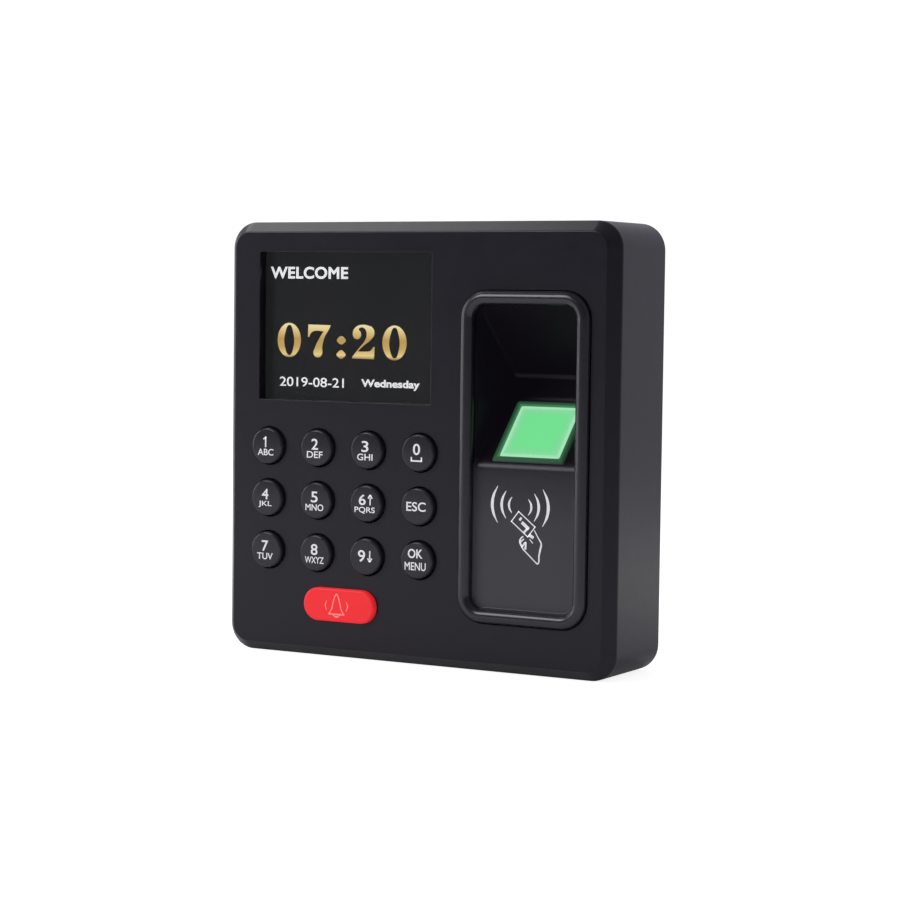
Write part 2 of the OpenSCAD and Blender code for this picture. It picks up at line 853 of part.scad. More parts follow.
module relay() {
    color("#2c5fa8")
    difference() {
        block(-50.5, -35.1, 16, 34.6, back_d, back_d + 11);
        block(-50.6, -49.9, 16, 34.6, back_d + 10.4, back_d + 12);
        block(-35.7, -35, 16, 34.6, back_d + 10.4, back_d + 12);
    }
}

module buzzer() {
    color("#17171a")
    turned(5.6, 38, [[0, back_d], [6, back_d], [6, back_d + 8.6], [5.6, back_d + 9],
        [1.1, back_d + 9], [1.1, back_d + 8], [0, back_d + 8]]);
}

module coin_cell() {
    front = back_d + 1.1;
    color("#c4c6c9")
    turned(cell_x, cell_z, [[0, front], [cell_r - 1.4, front], [cell_r - 1, front + 0.3],
        [cell_r, front + 0.7], [cell_r, front + 2.9], [cell_r - 0.3, front + 3.2], [0, front + 3.2]]);
}

module cell_holder() {
    floor_t = 1;
    cup_in = cell_r + 0.2;
    cup_out = cell_r + 1.4;
    arm_x = cell_x - cup_in - 0.1;
    arm_d = back_d + 4.4;
    color("#202124") {
        difference() {
            rod(cell_x, cell_z, cup_out, back_d, back_d + 3.4);
            rod(cell_x, cell_z, cup_in, back_d + floor_t, back_d + 5);
            block(cell_x - 4, cell_x + 4, cell_z + 7, cell_z + 13, back_d + floor_t, back_d + 5);
        }
        block(arm_x - 2, arm_x, cell_z - 4, cell_z + 4, back_d, arm_d + 0.6);
        block(arm_x - eps, arm_x + 2.5, cell_z - 2, cell_z + 2, arm_d, arm_d + 0.6);
    }
}

// Open-topped socket for a plug, its mouth towards the wall
module wire_socket(x0, x1) {
    wall = 0.8;
    z0 = cable_z - 3;
    z1 = cable_z + 3;
    color("#e9e6dc")
    difference() {
        block(x0, x1, z0, z1, back_d, back_d + 7);
        block(x0 + wall, x1 - wall, z0 + wall, z1 - wall, back_d + 1.2, back_d + 8);
        block(x0 + 2.5, x1 - 2.5, z1 - wall - eps, z1 + 1, back_d + 4, back_d + 8);
    }
}

socket_spans = [[-25.6, -12.7, 4], [-11.3, -1.4, 3], [0, 8.2, 2]];

module power_socket() { wire_socket(socket_spans[0][0], socket_spans[0][1]); }
module lock_socket() { wire_socket(socket_spans[1][0], socket_spans[1][1]); }
module data_socket() { wire_socket(socket_spans[2][0], socket_spans[2][1]); }

module socket_pins() {
    pitch = 2.5;
    pin = 0.64;
    color("#d6c27a")
    for (s = socket_spans, i = [0:s[2] - 1]) {
        x = (s[0] + s[1]) / 2 + (i - (s[2] - 1) / 2) * pitch;
        block(x - pin / 2, x + pin / 2, cable_z - pin / 2, cable_z + pin / 2,
            back_d + 1.2, back_d + 6);
    }
}

module tamper_switch() {
    color("#1b1b1d")
    difference() {
        block(tamper_x - 3, tamper_x + 3, tamper_z - 3, tamper_z + 3, back_d, back_d + 5.5);
        rod(tamper_x, tamper_z, tamper_r + 0.2, back_d + 2, back_d + 6);
    }
}

module tamper_plunger() {
    color("#d9d9d6")
    turned(tamper_x, tamper_z, [[0, back_d + 3], [tamper_r, back_d + 3], [tamper_r, plate_d - 0.5],
        [tamper_r - 0.4, plate_d - 0.05], [0, plate_d - 0.05]]);
}

front_housing();
rear_cover();
wall_plate();
lock_screw();
case_screws();
reader_frame();
reader_screws();
sensor_seal();
sensor_window();
sensor_prism();
sensor_housing();
sensor_lens();
image_sensor();
sensor_leds();
sensor_board();
sensor_screws();
sensor_ribbon();
antenna_board();
antenna_coil();
display_gasket();
display_window();
lcd_panel();
lcd_frame();
lcd_ribbon();
keypad_mat();
contact_pills();
doorbell_button();
key_1();
key_2();
key_3();
key_0();
key_4();
key_5();
key_6();
key_esc();
key_7();
key_8();
key_9();
key_ok();
main_pcb();
pcb_screws();
main_chip();
small_chips();
capacitors();
relay();
buzzer();
coin_cell();
cell_holder();
power_socket();
lock_socket();
data_socket();
socket_pins();
tamper_switch();
tamper_plunger();
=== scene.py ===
import json
import math

import bmesh
import bpy
from mathutils import Matrix, Vector
from mathutils.geometry import delaunay_2d_cdt


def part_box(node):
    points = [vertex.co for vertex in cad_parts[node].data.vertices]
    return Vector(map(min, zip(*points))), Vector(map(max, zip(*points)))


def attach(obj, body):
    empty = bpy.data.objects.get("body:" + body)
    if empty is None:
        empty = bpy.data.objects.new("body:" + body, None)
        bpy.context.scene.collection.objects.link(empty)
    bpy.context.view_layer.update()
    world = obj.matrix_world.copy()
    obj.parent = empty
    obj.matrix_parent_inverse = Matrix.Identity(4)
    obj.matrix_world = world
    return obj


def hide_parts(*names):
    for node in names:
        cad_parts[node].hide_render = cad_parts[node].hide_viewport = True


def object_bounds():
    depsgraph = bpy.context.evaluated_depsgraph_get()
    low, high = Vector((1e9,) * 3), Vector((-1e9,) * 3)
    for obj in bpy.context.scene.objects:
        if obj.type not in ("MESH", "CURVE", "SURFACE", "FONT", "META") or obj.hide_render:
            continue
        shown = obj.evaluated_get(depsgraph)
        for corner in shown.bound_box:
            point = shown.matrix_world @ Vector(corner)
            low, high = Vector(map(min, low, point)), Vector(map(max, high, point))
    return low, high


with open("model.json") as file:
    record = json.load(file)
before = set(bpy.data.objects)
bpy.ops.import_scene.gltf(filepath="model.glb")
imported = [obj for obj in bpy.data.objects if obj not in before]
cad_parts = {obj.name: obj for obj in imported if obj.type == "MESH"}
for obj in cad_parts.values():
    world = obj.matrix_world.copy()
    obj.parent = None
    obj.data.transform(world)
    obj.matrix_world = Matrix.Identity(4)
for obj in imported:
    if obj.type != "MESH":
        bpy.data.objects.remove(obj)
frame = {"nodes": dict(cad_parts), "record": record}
cad_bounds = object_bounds()

MM = 0.001
scene = bpy.context.scene

# ---------------------------------------------------------------- places
# The shapes below are written in millimetres: X, depth behind the flat front face, and Z.

FRONT_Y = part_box("front_housing")[0].y


def box_mm(node):
    """A node's box as (x0, x1, depth0, depth1, z0, z1) in millimetres."""
    lo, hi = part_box(node)
    return (lo.x / MM, hi.x / MM, (lo.y - FRONT_Y) / MM, (hi.y - FRONT_Y) / MM,
            lo.z / MM, hi.z / MM)


def at(x, depth, z):
    return Vector((x * MM, FRONT_Y + depth * MM, z * MM))


def mm(x, depth, z):
    """A vertex's place while its mesh is built: millimetres, scaled down once it is filled."""
    return Vector((x, FRONT_Y / MM + depth, z))


def middle(node):
    x0, x1, _, _, z0, z1 = box_mm(node)
    return (x0 + x1) / 2, (z0 + z1) / 2


# ---------------------------------------------------------------- materials

def new_material(name):
    """A material, its nodes, links and shader, and the object's own coordinates."""
    mat = bpy.data.materials.new(name)
    mat.use_nodes = True
    nodes = mat.node_tree.nodes
    coord = nodes.new("ShaderNodeTexCoord").outputs["Object"]
    return mat, nodes, mat.node_tree.links, nodes["Principled BSDF"], coord


def srgb(r, g, b):
    """Linear colour from display values of 0 to 255."""
    def one(v):
        v = v / 255
        return v / 12.92 if v <= 0.04045 else ((v + 0.055) / 1.055) ** 2.4
    return (one(r), one(g), one(b), 1.0)


def scaled(colour, k):
    return tuple(min(1.0, c * k) for c in colour[:3]) + (1.0,)


def add_noise(nodes, links, coord, scale, detail=2.0, rough=0.5, stretch=None):
    noise = nodes.new("ShaderNodeTexNoise")
    noise.inputs["Scale"].default_value = scale
    noise.inputs["Detail"].default_value = detail
    noise.inputs["Roughness"].default_value = rough
    if stretch:
        mapping = nodes.new("ShaderNodeMapping")
        mapping.inputs["Scale"].default_value = stretch
        links.new(coord, mapping.inputs["Vector"])
        coord = mapping.outputs["Vector"]
    links.new(coord, noise.inputs["Vector"])
    return noise.outputs["Fac"]


def add_ramp(nodes, links, fac, stops):
    ramp = nodes.new("ShaderNodeValToRGB")
    links.new(fac, ramp.inputs["Fac"])
    elements = ramp.color_ramp.elements
    while len(elements) < len(stops):
        elements.new(0.5)
    for element, (pos, colour) in zip(elements, stops):
        element.position = pos
        element.color = colour
    return ramp.outputs["Color"]


def add_range(nodes, links, value, low, high, to_low, to_high):
    node = nodes.new("ShaderNodeMapRange")
    node.inputs["From Min"].default_value = low
    node.inputs["From Max"].default_value = high
    node.inputs["To Min"].default_value = to_low
    node.inputs["To Max"].default_value = to_high
    links.new(value, node.inputs["Value"])
    return node.outputs["Result"]


def add_bump(nodes, links, height, distance):
    bump = nodes.new("ShaderNodeBump")
    bump.inputs["Distance"].default_value = distance
    bump.inputs["Strength"].default_value = 1.0
    links.new(height, bump.inputs["Height"])
    return bump.outputs["Normal"]


def add_axes(nodes, links, coord):
    """The coordinate's X, Y and Z outputs, by name."""
    split = nodes.new("ShaderNodeSeparateXYZ")
    links.new(coord, split.inputs["Vector"])
    return split.outputs


def add_math(nodes, links, operation, *values):
    """A math node. Each value is a number or an output of another node."""
    node = nodes.new("ShaderNodeMath")
    node.operation = operation
    for socket, value in zip(node.inputs, values):
        if isinstance(value, (int, float)):
            socket.default_value = value
        else:
            links.new(value, socket)
    return node.outputs[0]


def moulded(name, colour, rough, grain=0.004, grain_scale=5200, cloud=0.12, rough_play=0.06,
            specular=0.5, glow=0.0):
    """Moulded plastic or rubber: faint clouding, a fine grain and uneven sheen."""
    mat, nodes, links, bsdf, coord = new_material(name)
    clouds = add_noise(nodes, links, coord, 45, 3.0)
    links.new(add_ramp(nodes, links, clouds, [(0.3, scaled(colour, 1 - cloud)),
                                              (0.7, scaled(colour, 1 + cloud))]),
              bsdf.inputs["Base Color"])
    sheen = add_noise(nodes, links, coord, 260, 4.0, 0.6)
    links.new(add_range(nodes, links, sheen, 0.3, 0.7, rough - rough_play, rough + rough_play),
              bsdf.inputs["Roughness"])
    fine = add_noise(nodes, links, coord, grain_scale, 2.0)
    links.new(add_bump(nodes, links, fine, grain * MM), bsdf.inputs["Normal"])
    bsdf.inputs["Specular IOR Level"].default_value = specular
    bsdf.inputs["Emission Color"].default_value = colour
    bsdf.inputs["Emission Strength"].default_value = glow
    return mat


def metal(name, colour, rough, stretch=(1, 1, 1), scale=900, play=0.1):
    """Plated metal with fine lines, drawn out along the axes that stretch leaves small."""
    mat, nodes, links, bsdf, coord = new_material(name)
    lines = add_noise(nodes, links, coord, scale, 3.0, 0.6, stretch)
    blotch = add_noise(nodes, links, coord, 120, 3.0)
    links.new(add_ramp(nodes, links, blotch, [(0.3, scaled(colour, 0.86)), (0.7, colour)]),
              bsdf.inputs["Base Color"])
    links.new(add_range(nodes, links, lines, 0.3, 0.7, rough - play, rough + play),
              bsdf.inputs["Roughness"])
    links.new(add_bump(nodes, links, lines, 0.004 * MM), bsdf.inputs["Normal"])
    bsdf.inputs["Metallic"].default_value = 1.0
    return mat


def glassy(name, colour, rough):
    """Clear glass with faint smears."""
    mat, nodes, links, bsdf, coord = new_material(name)
    smear = add_noise(nodes, links, coord, 70, 3.0)
    links.new(add_ramp(nodes, links, smear, [(0.3, scaled(colour, 0.94)), (0.7, colour)]),
              bsdf.inputs["Base Color"])
    links.new(add_range(nodes, links, smear, 0.3, 0.7, rough, rough + 0.03),
              bsdf.inputs["Roughness"])
    bsdf.inputs["Transmission Weight"].default_value = 1.0
    bsdf.inputs["IOR"].default_value = 1.5
    return mat


def board(name, colour):
    """Solder mask with faint tracks under it."""
    mat, nodes, links, bsdf, coord = new_material(name)
    turn = nodes.new("ShaderNodeMapping")
    turn.inputs["Rotation"].default_value = (math.pi / 2, 0, 0)
    links.new(coord, turn.inputs["Vector"])
    bricks = nodes.new("ShaderNodeTexBrick")
    bricks.inputs["Scale"].default_value = 900
    bricks.inputs["Mortar Size"].default_value = 0.06
    bricks.inputs["Brick Width"].default_value = 2.7
    bricks.inputs["Row Height"].default_value = 0.8
    bricks.inputs["Color1"].default_value = colour
    bricks.inputs["Color2"].default_value = scaled(colour, 0.9)
    bricks.inputs["Mortar"].default_value = scaled(colour, 1.6)
    links.new(turn.outputs["Vector"], bricks.inputs["Vector"])
    track = bricks.outputs["Color"]
    links.new(track, bsdf.inputs["Base Color"])
    links.new(add_range(nodes, links, add_noise(nodes, links, coord, 400), 0.3, 0.7, 0.3, 0.45),
              bsdf.inputs["Roughness"])
    links.new(add_bump(nodes, links, track, 0.02 * MM), bsdf.inputs["Normal"])
    return mat


def printed(name, colour, glow):
    """Screen-printed or lit marks: slightly uneven ink. Their glow is the display's own light on
    lit characters, and painted light on printed ink.
    """
    mat, nodes, links, bsdf, coord = new_material(name)
    ink = add_noise(nodes, links, coord, 1500, 3.0)
    shade = add_ramp(nodes, links, ink, [(0.3, scaled(colour, 0.9)), (0.7, colour)])
    links.new(shade, bsdf.inputs["Base Color"])
    links.new(shade, bsdf.inputs["Emission Color"])
    bsdf.inputs["Emission Strength"].default_value = glow
    bsdf.inputs["Roughness"].default_value = 0.55
    return mat


CASE = srgb(36, 34, 44)
READER = srgb(42, 41, 48)


def lit_black():
    """The display's black, which its backlight lifts a little."""
    mat, nodes, links, bsdf, coord = new_material("display face")
    tone = add_ramp(nodes, links, add_noise(nodes, links, coord, 30, 1.0),
                    [(0.3, srgb(29, 30, 31)), (0.7, srgb(33, 33, 33))])
    links.new(tone, bsdf.inputs["Emission Color"])
    links.new(add_ramp(nodes, links, add_noise(nodes, links, coord, 900), [
        (0.3, srgb(8, 8, 9)), (0.7, srgb(11, 11, 12))]), bsdf.inputs["Base Color"])
    bsdf.inputs["Emission Strength"].default_value = 1.0
    bsdf.inputs["Roughness"].default_value = 0.4
    bsdf.inputs["Specular IOR Level"].default_value = 0.2
    return mat


def recess_plastic():
    """Reader plastic that is matt, with painted shade and a faint painted glow deep in the finger
    recess, a painted highlight along its deep fold, and a painted gradient of light on the card
    panel, lighter towards its bottom.
    """
    mat, nodes, links, bsdf, coord = new_material("recess plastic")
    axes = add_axes(nodes, links, coord)
    grain = add_noise(nodes, links, coord, 1800, 2.0)
    deep = add_range(nodes, links, axes["Y"], at(0, 0.9, 0).y, at(0, 2.6, 0).y, 0.0, 1.0)
    above = add_range(nodes, links, axes["Z"], (SHELF_FOOT[1] + 1.0) * MM,
                      (SHELF_FOOT[1] + 2.0) * MM, 0.0, 1.0)
    # far marks where painted shade goes: the deep recess behind the mouth and the shelf above its
    # foot.
    far = add_math(nodes, links, "MAXIMUM", deep, above)
    # uneven is that painted-shade mask with a little grain added.
    uneven = add_math(nodes, links, "MULTIPLY_ADD", grain, 0.03, far)
    # painted light: the card panel is painted lighter towards its bottom and darker up to the
    # shelf's foot.
    low = add_range(nodes, links, axes["Z"], MOUTH_BOTTOM * MM, SHELF_FOOT[1] * MM, 0.0, 1.0)
    panel = add_ramp(nodes, links, low, [
        (0.0, srgb(97, 96, 102)), (0.6, srgb(88, 87, 93)), (1.0, srgb(54, 53, 59))])
    mix = nodes.new("ShaderNodeMix")
    mix.data_type = "RGBA"
    links.new(uneven, mix.inputs["Factor"])
    links.new(panel, mix.inputs["A"])
    # painted shade: the plastic's colour where the recess is deep.
    mix.inputs["B"].default_value = srgb(20, 14, 21)
    links.new(mix.outputs["Result"], bsdf.inputs["Base Color"])
    links.new(add_range(nodes, links, far, 0.0, 1.0, 0.3, 0.42), bsdf.inputs["Roughness"])
    links.new(add_range(nodes, links, far, 0.0, 1.0, 0.5, 0.16), bsdf.inputs["Specular IOR Level"])
    # a faint painted glow over the deep recess and a painted highlight along the deep fold, though
    # the plastic is no lamp.
    fold_highlight = add_range(nodes, links, axes["Y"], at(0, DEEP_D - 0.7, 0).y,
                     at(0, DEEP_D - 0.35, 0).y, 0.0, 1.0)
    links.new(add_ramp(nodes, links, fold_highlight, [(0.0, srgb(8, 7, 11)), (1.0, srgb(33, 32, 37))]),
              bsdf.inputs["Emission Color"])
    links.new(far, bsdf.inputs["Emission Strength"])
    links.new(add_bump(nodes, links, grain, 0.0008 * MM), bsdf.inputs["Normal"])
    return mat


MATERIALS = {
    "case_plastic": moulded("case plastic", CASE, 0.3, grain=0.0012, grain_scale=2400,
                            cloud=0.04, rough_play=0.02),
    "cover_plastic": moulded("cover plastic", srgb(36, 36, 39), 0.55, grain=0.014,
                             grain_scale=3600),
    "plate_steel": metal("zinc plated steel", srgb(176, 180, 184), 0.38, (1, 1, 30), 260, 0.12),
    "screw_steel": metal("plated screws", srgb(170, 172, 178), 0.3),
    "reader_plastic": moulded("reader plastic", READER, 0.25, grain=0.0, cloud=0.05,
                              rough_play=0.02, specular=0.95),
    "seal_rubber": moulded("seal rubber", srgb(46, 45, 50), 0.6, grain=0.01),
    "prism_glass": glassy("prism glass", srgb(205, 240, 215), 0.02),
    "module_plastic": moulded("module plastic", srgb(34, 34, 36), 0.5, grain=0.01),
    "chip_black": moulded("chip epoxy", srgb(38, 38, 40), 0.5, grain=0.012),
    "led_clear": moulded("led body", srgb(215, 240, 222), 0.2, grain=0.002),
    "board_green": board("solder mask", srgb(26, 88, 52)),
    "ribbon_amber": moulded("polyimide ribbon", srgb(196, 140, 60), 0.35, grain=0.004),
    "coil_copper": metal("enamelled copper", srgb(190, 112, 70), 0.3),
    "lcd_black": lit_black(),
    "frame_steel": metal("display frame", srgb(188, 190, 194), 0.3, (20, 1, 1), 300),
    "mat_silicone": moulded("silicone mat", srgb(142, 144, 148), 0.6, grain=0.01),
    "pill_carbon": moulded("carbon pills", srgb(34, 34, 36), 0.7, grain=0.02),
    # the red button's glow is painted light: the button is no lamp.
    "bell_red": moulded("red button", srgb(253, 46, 53), 0.38, grain=0.002, cloud=0.02, glow=0.47),
    "key_black": moulded("keycap", srgb(58, 57, 64), 0.17, grain=0.002, cloud=0.05,
                         rough_play=0.02),
    "capacitor_can": metal("capacitor sleeve", srgb(70, 78, 104), 0.3, (1, 1, 1), 700),
    "relay_blue": moulded("relay case", srgb(48, 98, 170), 0.4, grain=0.006),
    "cell_steel": metal("coin cell", srgb(196, 198, 202), 0.25, (1, 1, 1), 700),
    "socket_ivory": moulded("socket nylon", srgb(232, 228, 216), 0.45, grain=0.006, cloud=0.04),
    "pin_gold": metal("plated pins", srgb(222, 190, 110), 0.25),
}

# the legend ink's glow is painted light: the printed legends, key marks and card symbol are no
# lamps.
LEGEND = printed("legend ink", srgb(232, 232, 234), 0.52)
# the bell mark's glow is painted light as well.
BELL_MARK = printed("bell ink", srgb(250, 150, 140), 0.5)
LIT_WHITE = printed("lit characters", srgb(244, 244, 244), 0.9)


def lit_gold():
    """The clock's characters, lit in gold with a soft vertical gradient."""
    mat, nodes, links, bsdf, coord = new_material("lit gold")
    height = add_range(nodes, links, add_axes(nodes, links, coord)["Z"], 21.5 * MM, 30.8 * MM,
                       0.0, 1.0)
    tone = add_ramp(nodes, links, height, [
        (0.0, srgb(150, 110, 56)), (0.1, srgb(240, 216, 146)), (0.3, srgb(208, 172, 100)),
        (0.55, srgb(196, 158, 88)), (0.84, srgb(240, 218, 148)), (1.0, srgb(252, 240, 196))])
    links.new(add_ramp(nodes, links, add_noise(nodes, links, coord, 3.0), [
        (0.3, srgb(20, 15, 8)), (0.7, srgb(26, 20, 10))]), bsdf.inputs["Base Color"])
    links.new(tone, bsdf.inputs["Emission Color"])
    bsdf.inputs["Emission Strength"].default_value = 1.0
    bsdf.inputs["Roughness"].default_value = 0.5
    return mat


LIT_GOLD = lit_gold()


def display_glass():
    """The display's cover: nearly clear, and smoother than other glass."""
    mat, nodes, links, bsdf, coord = new_material("display glass")
    smear = add_noise(nodes, links, coord, 12, 1.0)
    links.new(add_range(nodes, links, smear, 0.3, 0.7, 0.0, 0.012), bsdf.inputs["Roughness"])
    links.new(add_ramp(nodes, links, smear, [
        (0.3, srgb(242, 243, 244)), (0.7, srgb(247, 247, 248))]), bsdf.inputs["Base Color"])
    bsdf.inputs["Transmission Weight"].default_value = 1.0
    bsdf.inputs["IOR"].default_value = 1.45
    return mat


def off_centre(nodes, links, coord):
    """How far a place is from the middle of a square, counted to its nearest side."""
    axes = add_axes(nodes, links, coord)
    away = [add_math(nodes, links, "ABSOLUTE", axes[name]) for name in ("X", "Y")]
    return add_math(nodes, links, "MAXIMUM", *away)


def sensor_glass(half):
    """The lit finger window: green, paler towards its edges."""
    mat, nodes, links, bsdf, coord = new_material("sensor glass")
    reach = add_range(nodes, links, off_centre(nodes, links, coord), half * 0.55, half, 0.0, 1.0)
    grain = add_noise(nodes, links, coord, 2600, 2.0)
    mottle = add_math(nodes, links, "MULTIPLY_ADD", grain, 0.3, reach)
    tone = add_ramp(nodes, links, mottle, [
        (0.1, srgb(118, 230, 148)), (0.5, srgb(124, 226, 152)), (0.85, srgb(140, 222, 164)),
        (1.0, srgb(168, 234, 188))])
    links.new(add_ramp(nodes, links, grain, [(0.3, srgb(24, 60, 34)), (0.7, srgb(32, 70, 42))]),
              bsdf.inputs["Base Color"])
    links.new(tone, bsdf.inputs["Emission Color"])
    seen = nodes.new("ShaderNodeLightPath").outputs["Is Camera Ray"]
    links.new(add_range(nodes, links, seen, 0.0, 1.0, 0.28, 0.93), bsdf.inputs["Emission Strength"])
    bsdf.inputs["Roughness"].default_value = 0.25
    return mat


# ---------------------------------------------------------------- mesh tools

def rrect(cx, cz, w, h, r, steps=10):
    """Points of a rounded rectangle, anticlockwise seen from the front."""
    r = max(min(r, w / 2, h / 2), 0.001)
    points = []
    corners = [(1, 1, 0), (-1, 1, 90), (-1, -1, 180), (1, -1, 270)]
    for sx, sz, start in corners:
        for i in range(steps + 1):
            a = math.radians(start + 90 * i / steps)
            points.append((cx + sx * (w / 2 - r) + r * math.cos(a),
                           cz + sz * (h / 2 - r) + r * math.sin(a)))
    return points


def circle(cx, cz, r, count=64):
    return [(cx + r * math.cos(2 * math.pi * i / count), cz + r * math.sin(2 * math.pi * i / count))
            for i in range(count)]


def fillet(points, radii, steps=5):
    """Rounds the inner corners of an open polyline. radii has one value per point."""
    out = [points[0]]
    for i in range(1, len(points) - 1):
        p, r = Vector(points[i]), radii[i]
        a, b = Vector(points[i - 1]) - p, Vector(points[i + 1]) - p
        turn = math.pi - a.angle(b)
        if r <= 0 or turn < 0.01:
            out.append(points[i])
            continue
        reach = min(r * math.tan(turn / 2), 0.49 * a.length, 0.49 * b.length)
        r = reach / math.tan(turn / 2)
        a.normalize()
        b.normalize()
        centre = p + (a + b).normalized() * (r / math.cos(turn / 2))
        first = p + a * reach - centre
        last = p + b * reach - centre
        for k in range(steps + 1):
            t = k / steps
            angle = turn * t
            mixed = (first * math.sin(turn - angle) + last * math.sin(angle)) / math.sin(turn)
            out.append(tuple(centre + mixed))
    out.append(points[-1])
    return out


def ring_verts(bm, loop, depth):
    return [bm.verts.new(mm(x, depth, z)) for x, z in loop]


def bridge(bm, a, b):
    n = len(a)
    for i in range(n):
        bm.faces.new((a[i], a[(i + 1) % n], b[(i + 1) % n], b[i]))


def stack(bm, levels):
    """Skins a list of (loop, depth) and returns the first and last ring of vertices."""
    rings = [ring_verts(bm, loop, depth) for loop, depth in levels]
    for a, b in zip(rings, rings[1:]):
        bridge(bm, a, b)
    return rings[0], rings[-1]


def fill_between(bm, rings, axes=(0, 2)):
    """Fills the flat region between an outer ring of vertices and the rings inside it."""
    verts, edges = [], []
    for ring in rings:
        first = len(verts)
        verts += ring
        edges += [(first + i, first + (i + 1) % len(ring)) for i in range(len(ring))]
    flat = [Vector((v.co[axes[0]], v.co[axes[1]])) for v in verts]
    holes = [[(v.co[axes[0]], v.co[axes[1]]) for v in ring] for ring in rings[1:]]
    _, _, faces, origin, _, _ = delaunay_2d_cdt(flat, edges, [], 1, 1e-5)
    for face in faces:
        middle = sum((flat[origin[i][0]] for i in face), Vector((0, 0))) / len(face)
        if any(inside(middle, hole) for hole in holes):
            continue
        corners = [verts[origin[i][0]] for i in face]
        if len(set(corners)) == 3:
            bm.faces.new(corners)


def inside(point, loop):
    """Whether a 2D point lies in a closed loop."""
    odd = False
    for (ax, ay), (bx, by) in zip(loop, loop[1:] + loop[:1]):
        if (ay > point.y) != (by > point.y):
            if point.x < ax + (point.y - ay) / (by - ay) * (bx - ax):
                odd = not odd
    return odd


def lathe(bm, cx, cz, profile, count=64):
    """Solid of revolution about a line along Y. The profile is (radius, depth)."""
    rings = []
    for r, depth in profile:
        if r < 1e-6:
            rings.append([bm.verts.new(mm(cx, depth, cz))])
        else:
            rings.append(ring_verts(bm, circle(cx, cz, r, count), depth))
    for a, b in zip(rings, rings[1:]):
        if len(a) > 1 and len(b) > 1:
            bridge(bm, a, b)
        elif len(a) == 1:
            for i in range(len(b)):
                bm.faces.new((a[0], b[(i + 1) % len(b)], b[i]))
        else:
            for i in range(len(a)):
                bm.faces.new((b[0], a[i], a[(i + 1) % len(a)]))


def tube(bm, cx, cz, r_in, r_out, depth0, depth1, count=32):
    lathe(bm, cx, cz, [(r_in, depth0), (r_out, depth0), (r_out, depth1), (r_in, depth1),
                       (r_in, depth0)], count)


def finish_mesh(name, bm, material, body="root", nodes=(), smooth=True, matrix=None,
                weld=True):
    """Turns a bmesh into a piece that rides on a body."""
    if weld:
        bmesh.ops.remove_doubles(bm, verts=bm.verts, dist=1e-4)
    bmesh.ops.recalc_face_normals(bm, faces=bm.faces)
    bmesh.ops.scale(bm, vec=(MM, MM, MM), verts=bm.verts)
    mesh = bpy.data.meshes.new(name)
    bm.to_mesh(mesh)
    bm.free()
    if smooth:
        for polygon in mesh.polygons:
            polygon.use_smooth = True
    mesh.materials.append(material)
    piece = bpy.data.objects.new(name, mesh)
    scene.collection.objects.link(piece)
    if matrix is not None:
        piece.matrix_world = matrix
    if nodes:
        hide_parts(*nodes)
    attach(piece, body)
    return piece


def weighted(piece):
    modifier = piece.modifiers.new("weighted normals", "WEIGHTED_NORMAL")
    modifier.keep_sharp = True
    modifier.weight = 50
    return piece


# ---------------------------------------------------------------- front housing

CASE_R, BEVEL_D, BEVEL_W, WALL, SKIN = 7.0, 3.2, 2.7, 2.2, 2.6
RIM = 0.2                     # rounding of every opening's edge in the front face
BOSS_IN = 3.6                 # the corner bosses' middles from the inner walls
PCB_POSTS = ((-51.8, 40), (-51.8, -43), (10.35, 5.2), (10.35, -43))
LIFT = 0.01                   # keeps a post's end off the skin it stands on
x0, x1, _, BODY_D, z0, z1 = box_mm("front_housing")
BODY_W, BODY_H = x1 - x0, z1 - z0

gx0, gx1, _, _, gz0, gz1 = box_mm("display_gasket")
GASKET_RIM = 2.0
DISPLAY = ((gx0 + gx1) / 2, (gz0 + gz1) / 2, gx1 - gx0 - 2 * GASKET_RIM, gz1 - gz0 - 2 * GASKET_RIM)

KEY_GAP = 0.3
KEY_R = 4.8
KEY_RISE = 1.5
KEYS = [n for n in frame["nodes"] if n.startswith("key_")]

bx0, bx1, _, _, bz0, bz1 = box_mm("doorbell_button")
FLANGE, FLANGE_T, STEM_R = 0.8, 0.8, 2
BELL = ((bx0 + bx1) / 2, (bz0 + bz1) / 2, bx1 - bx0 - 2 * FLANGE, bz1 - bz0 - 2 * FLANGE)

rx0, rx1, _, _, _, _ = box_mm("reader_frame")
READER_FLANGE = 2.0
READER_W, READER_H, READER_R, BEAD_R = rx1 - rx0 - 2 * READER_FLANGE, 84.6, 7.0, 1.85
READER_X, READER_Z = (rx0 + rx1) / 2, -2.4
LUG_X, LUG_Z = 11.7, (44.4, -49.2)
SLIP = 0.15


def case_loop(inset):
    return rrect(0, (z0 + z1) / 2, BODY_W - 2 * inset, BODY_H - 2 * inset, CASE_R - inset, 14)


def display_loop(grow):
    x, z, w, h = DISPLAY
    return rrect(x, z, w + 2 * grow, h + 2 * grow, 0.4 + grow, 5)


def bell_loop(grow):
    x, z, w, h = BELL
    return rrect(x, z, w + 2 * grow, h + 2 * grow, h / 2 + grow, 16)


def reader_loop(inset, steps=12):
    return rrect(READER_X, READER_Z, READER_W - 2 * inset, READER_H - 2 * inset,
                 max(READER_R - inset, 0.5), steps)


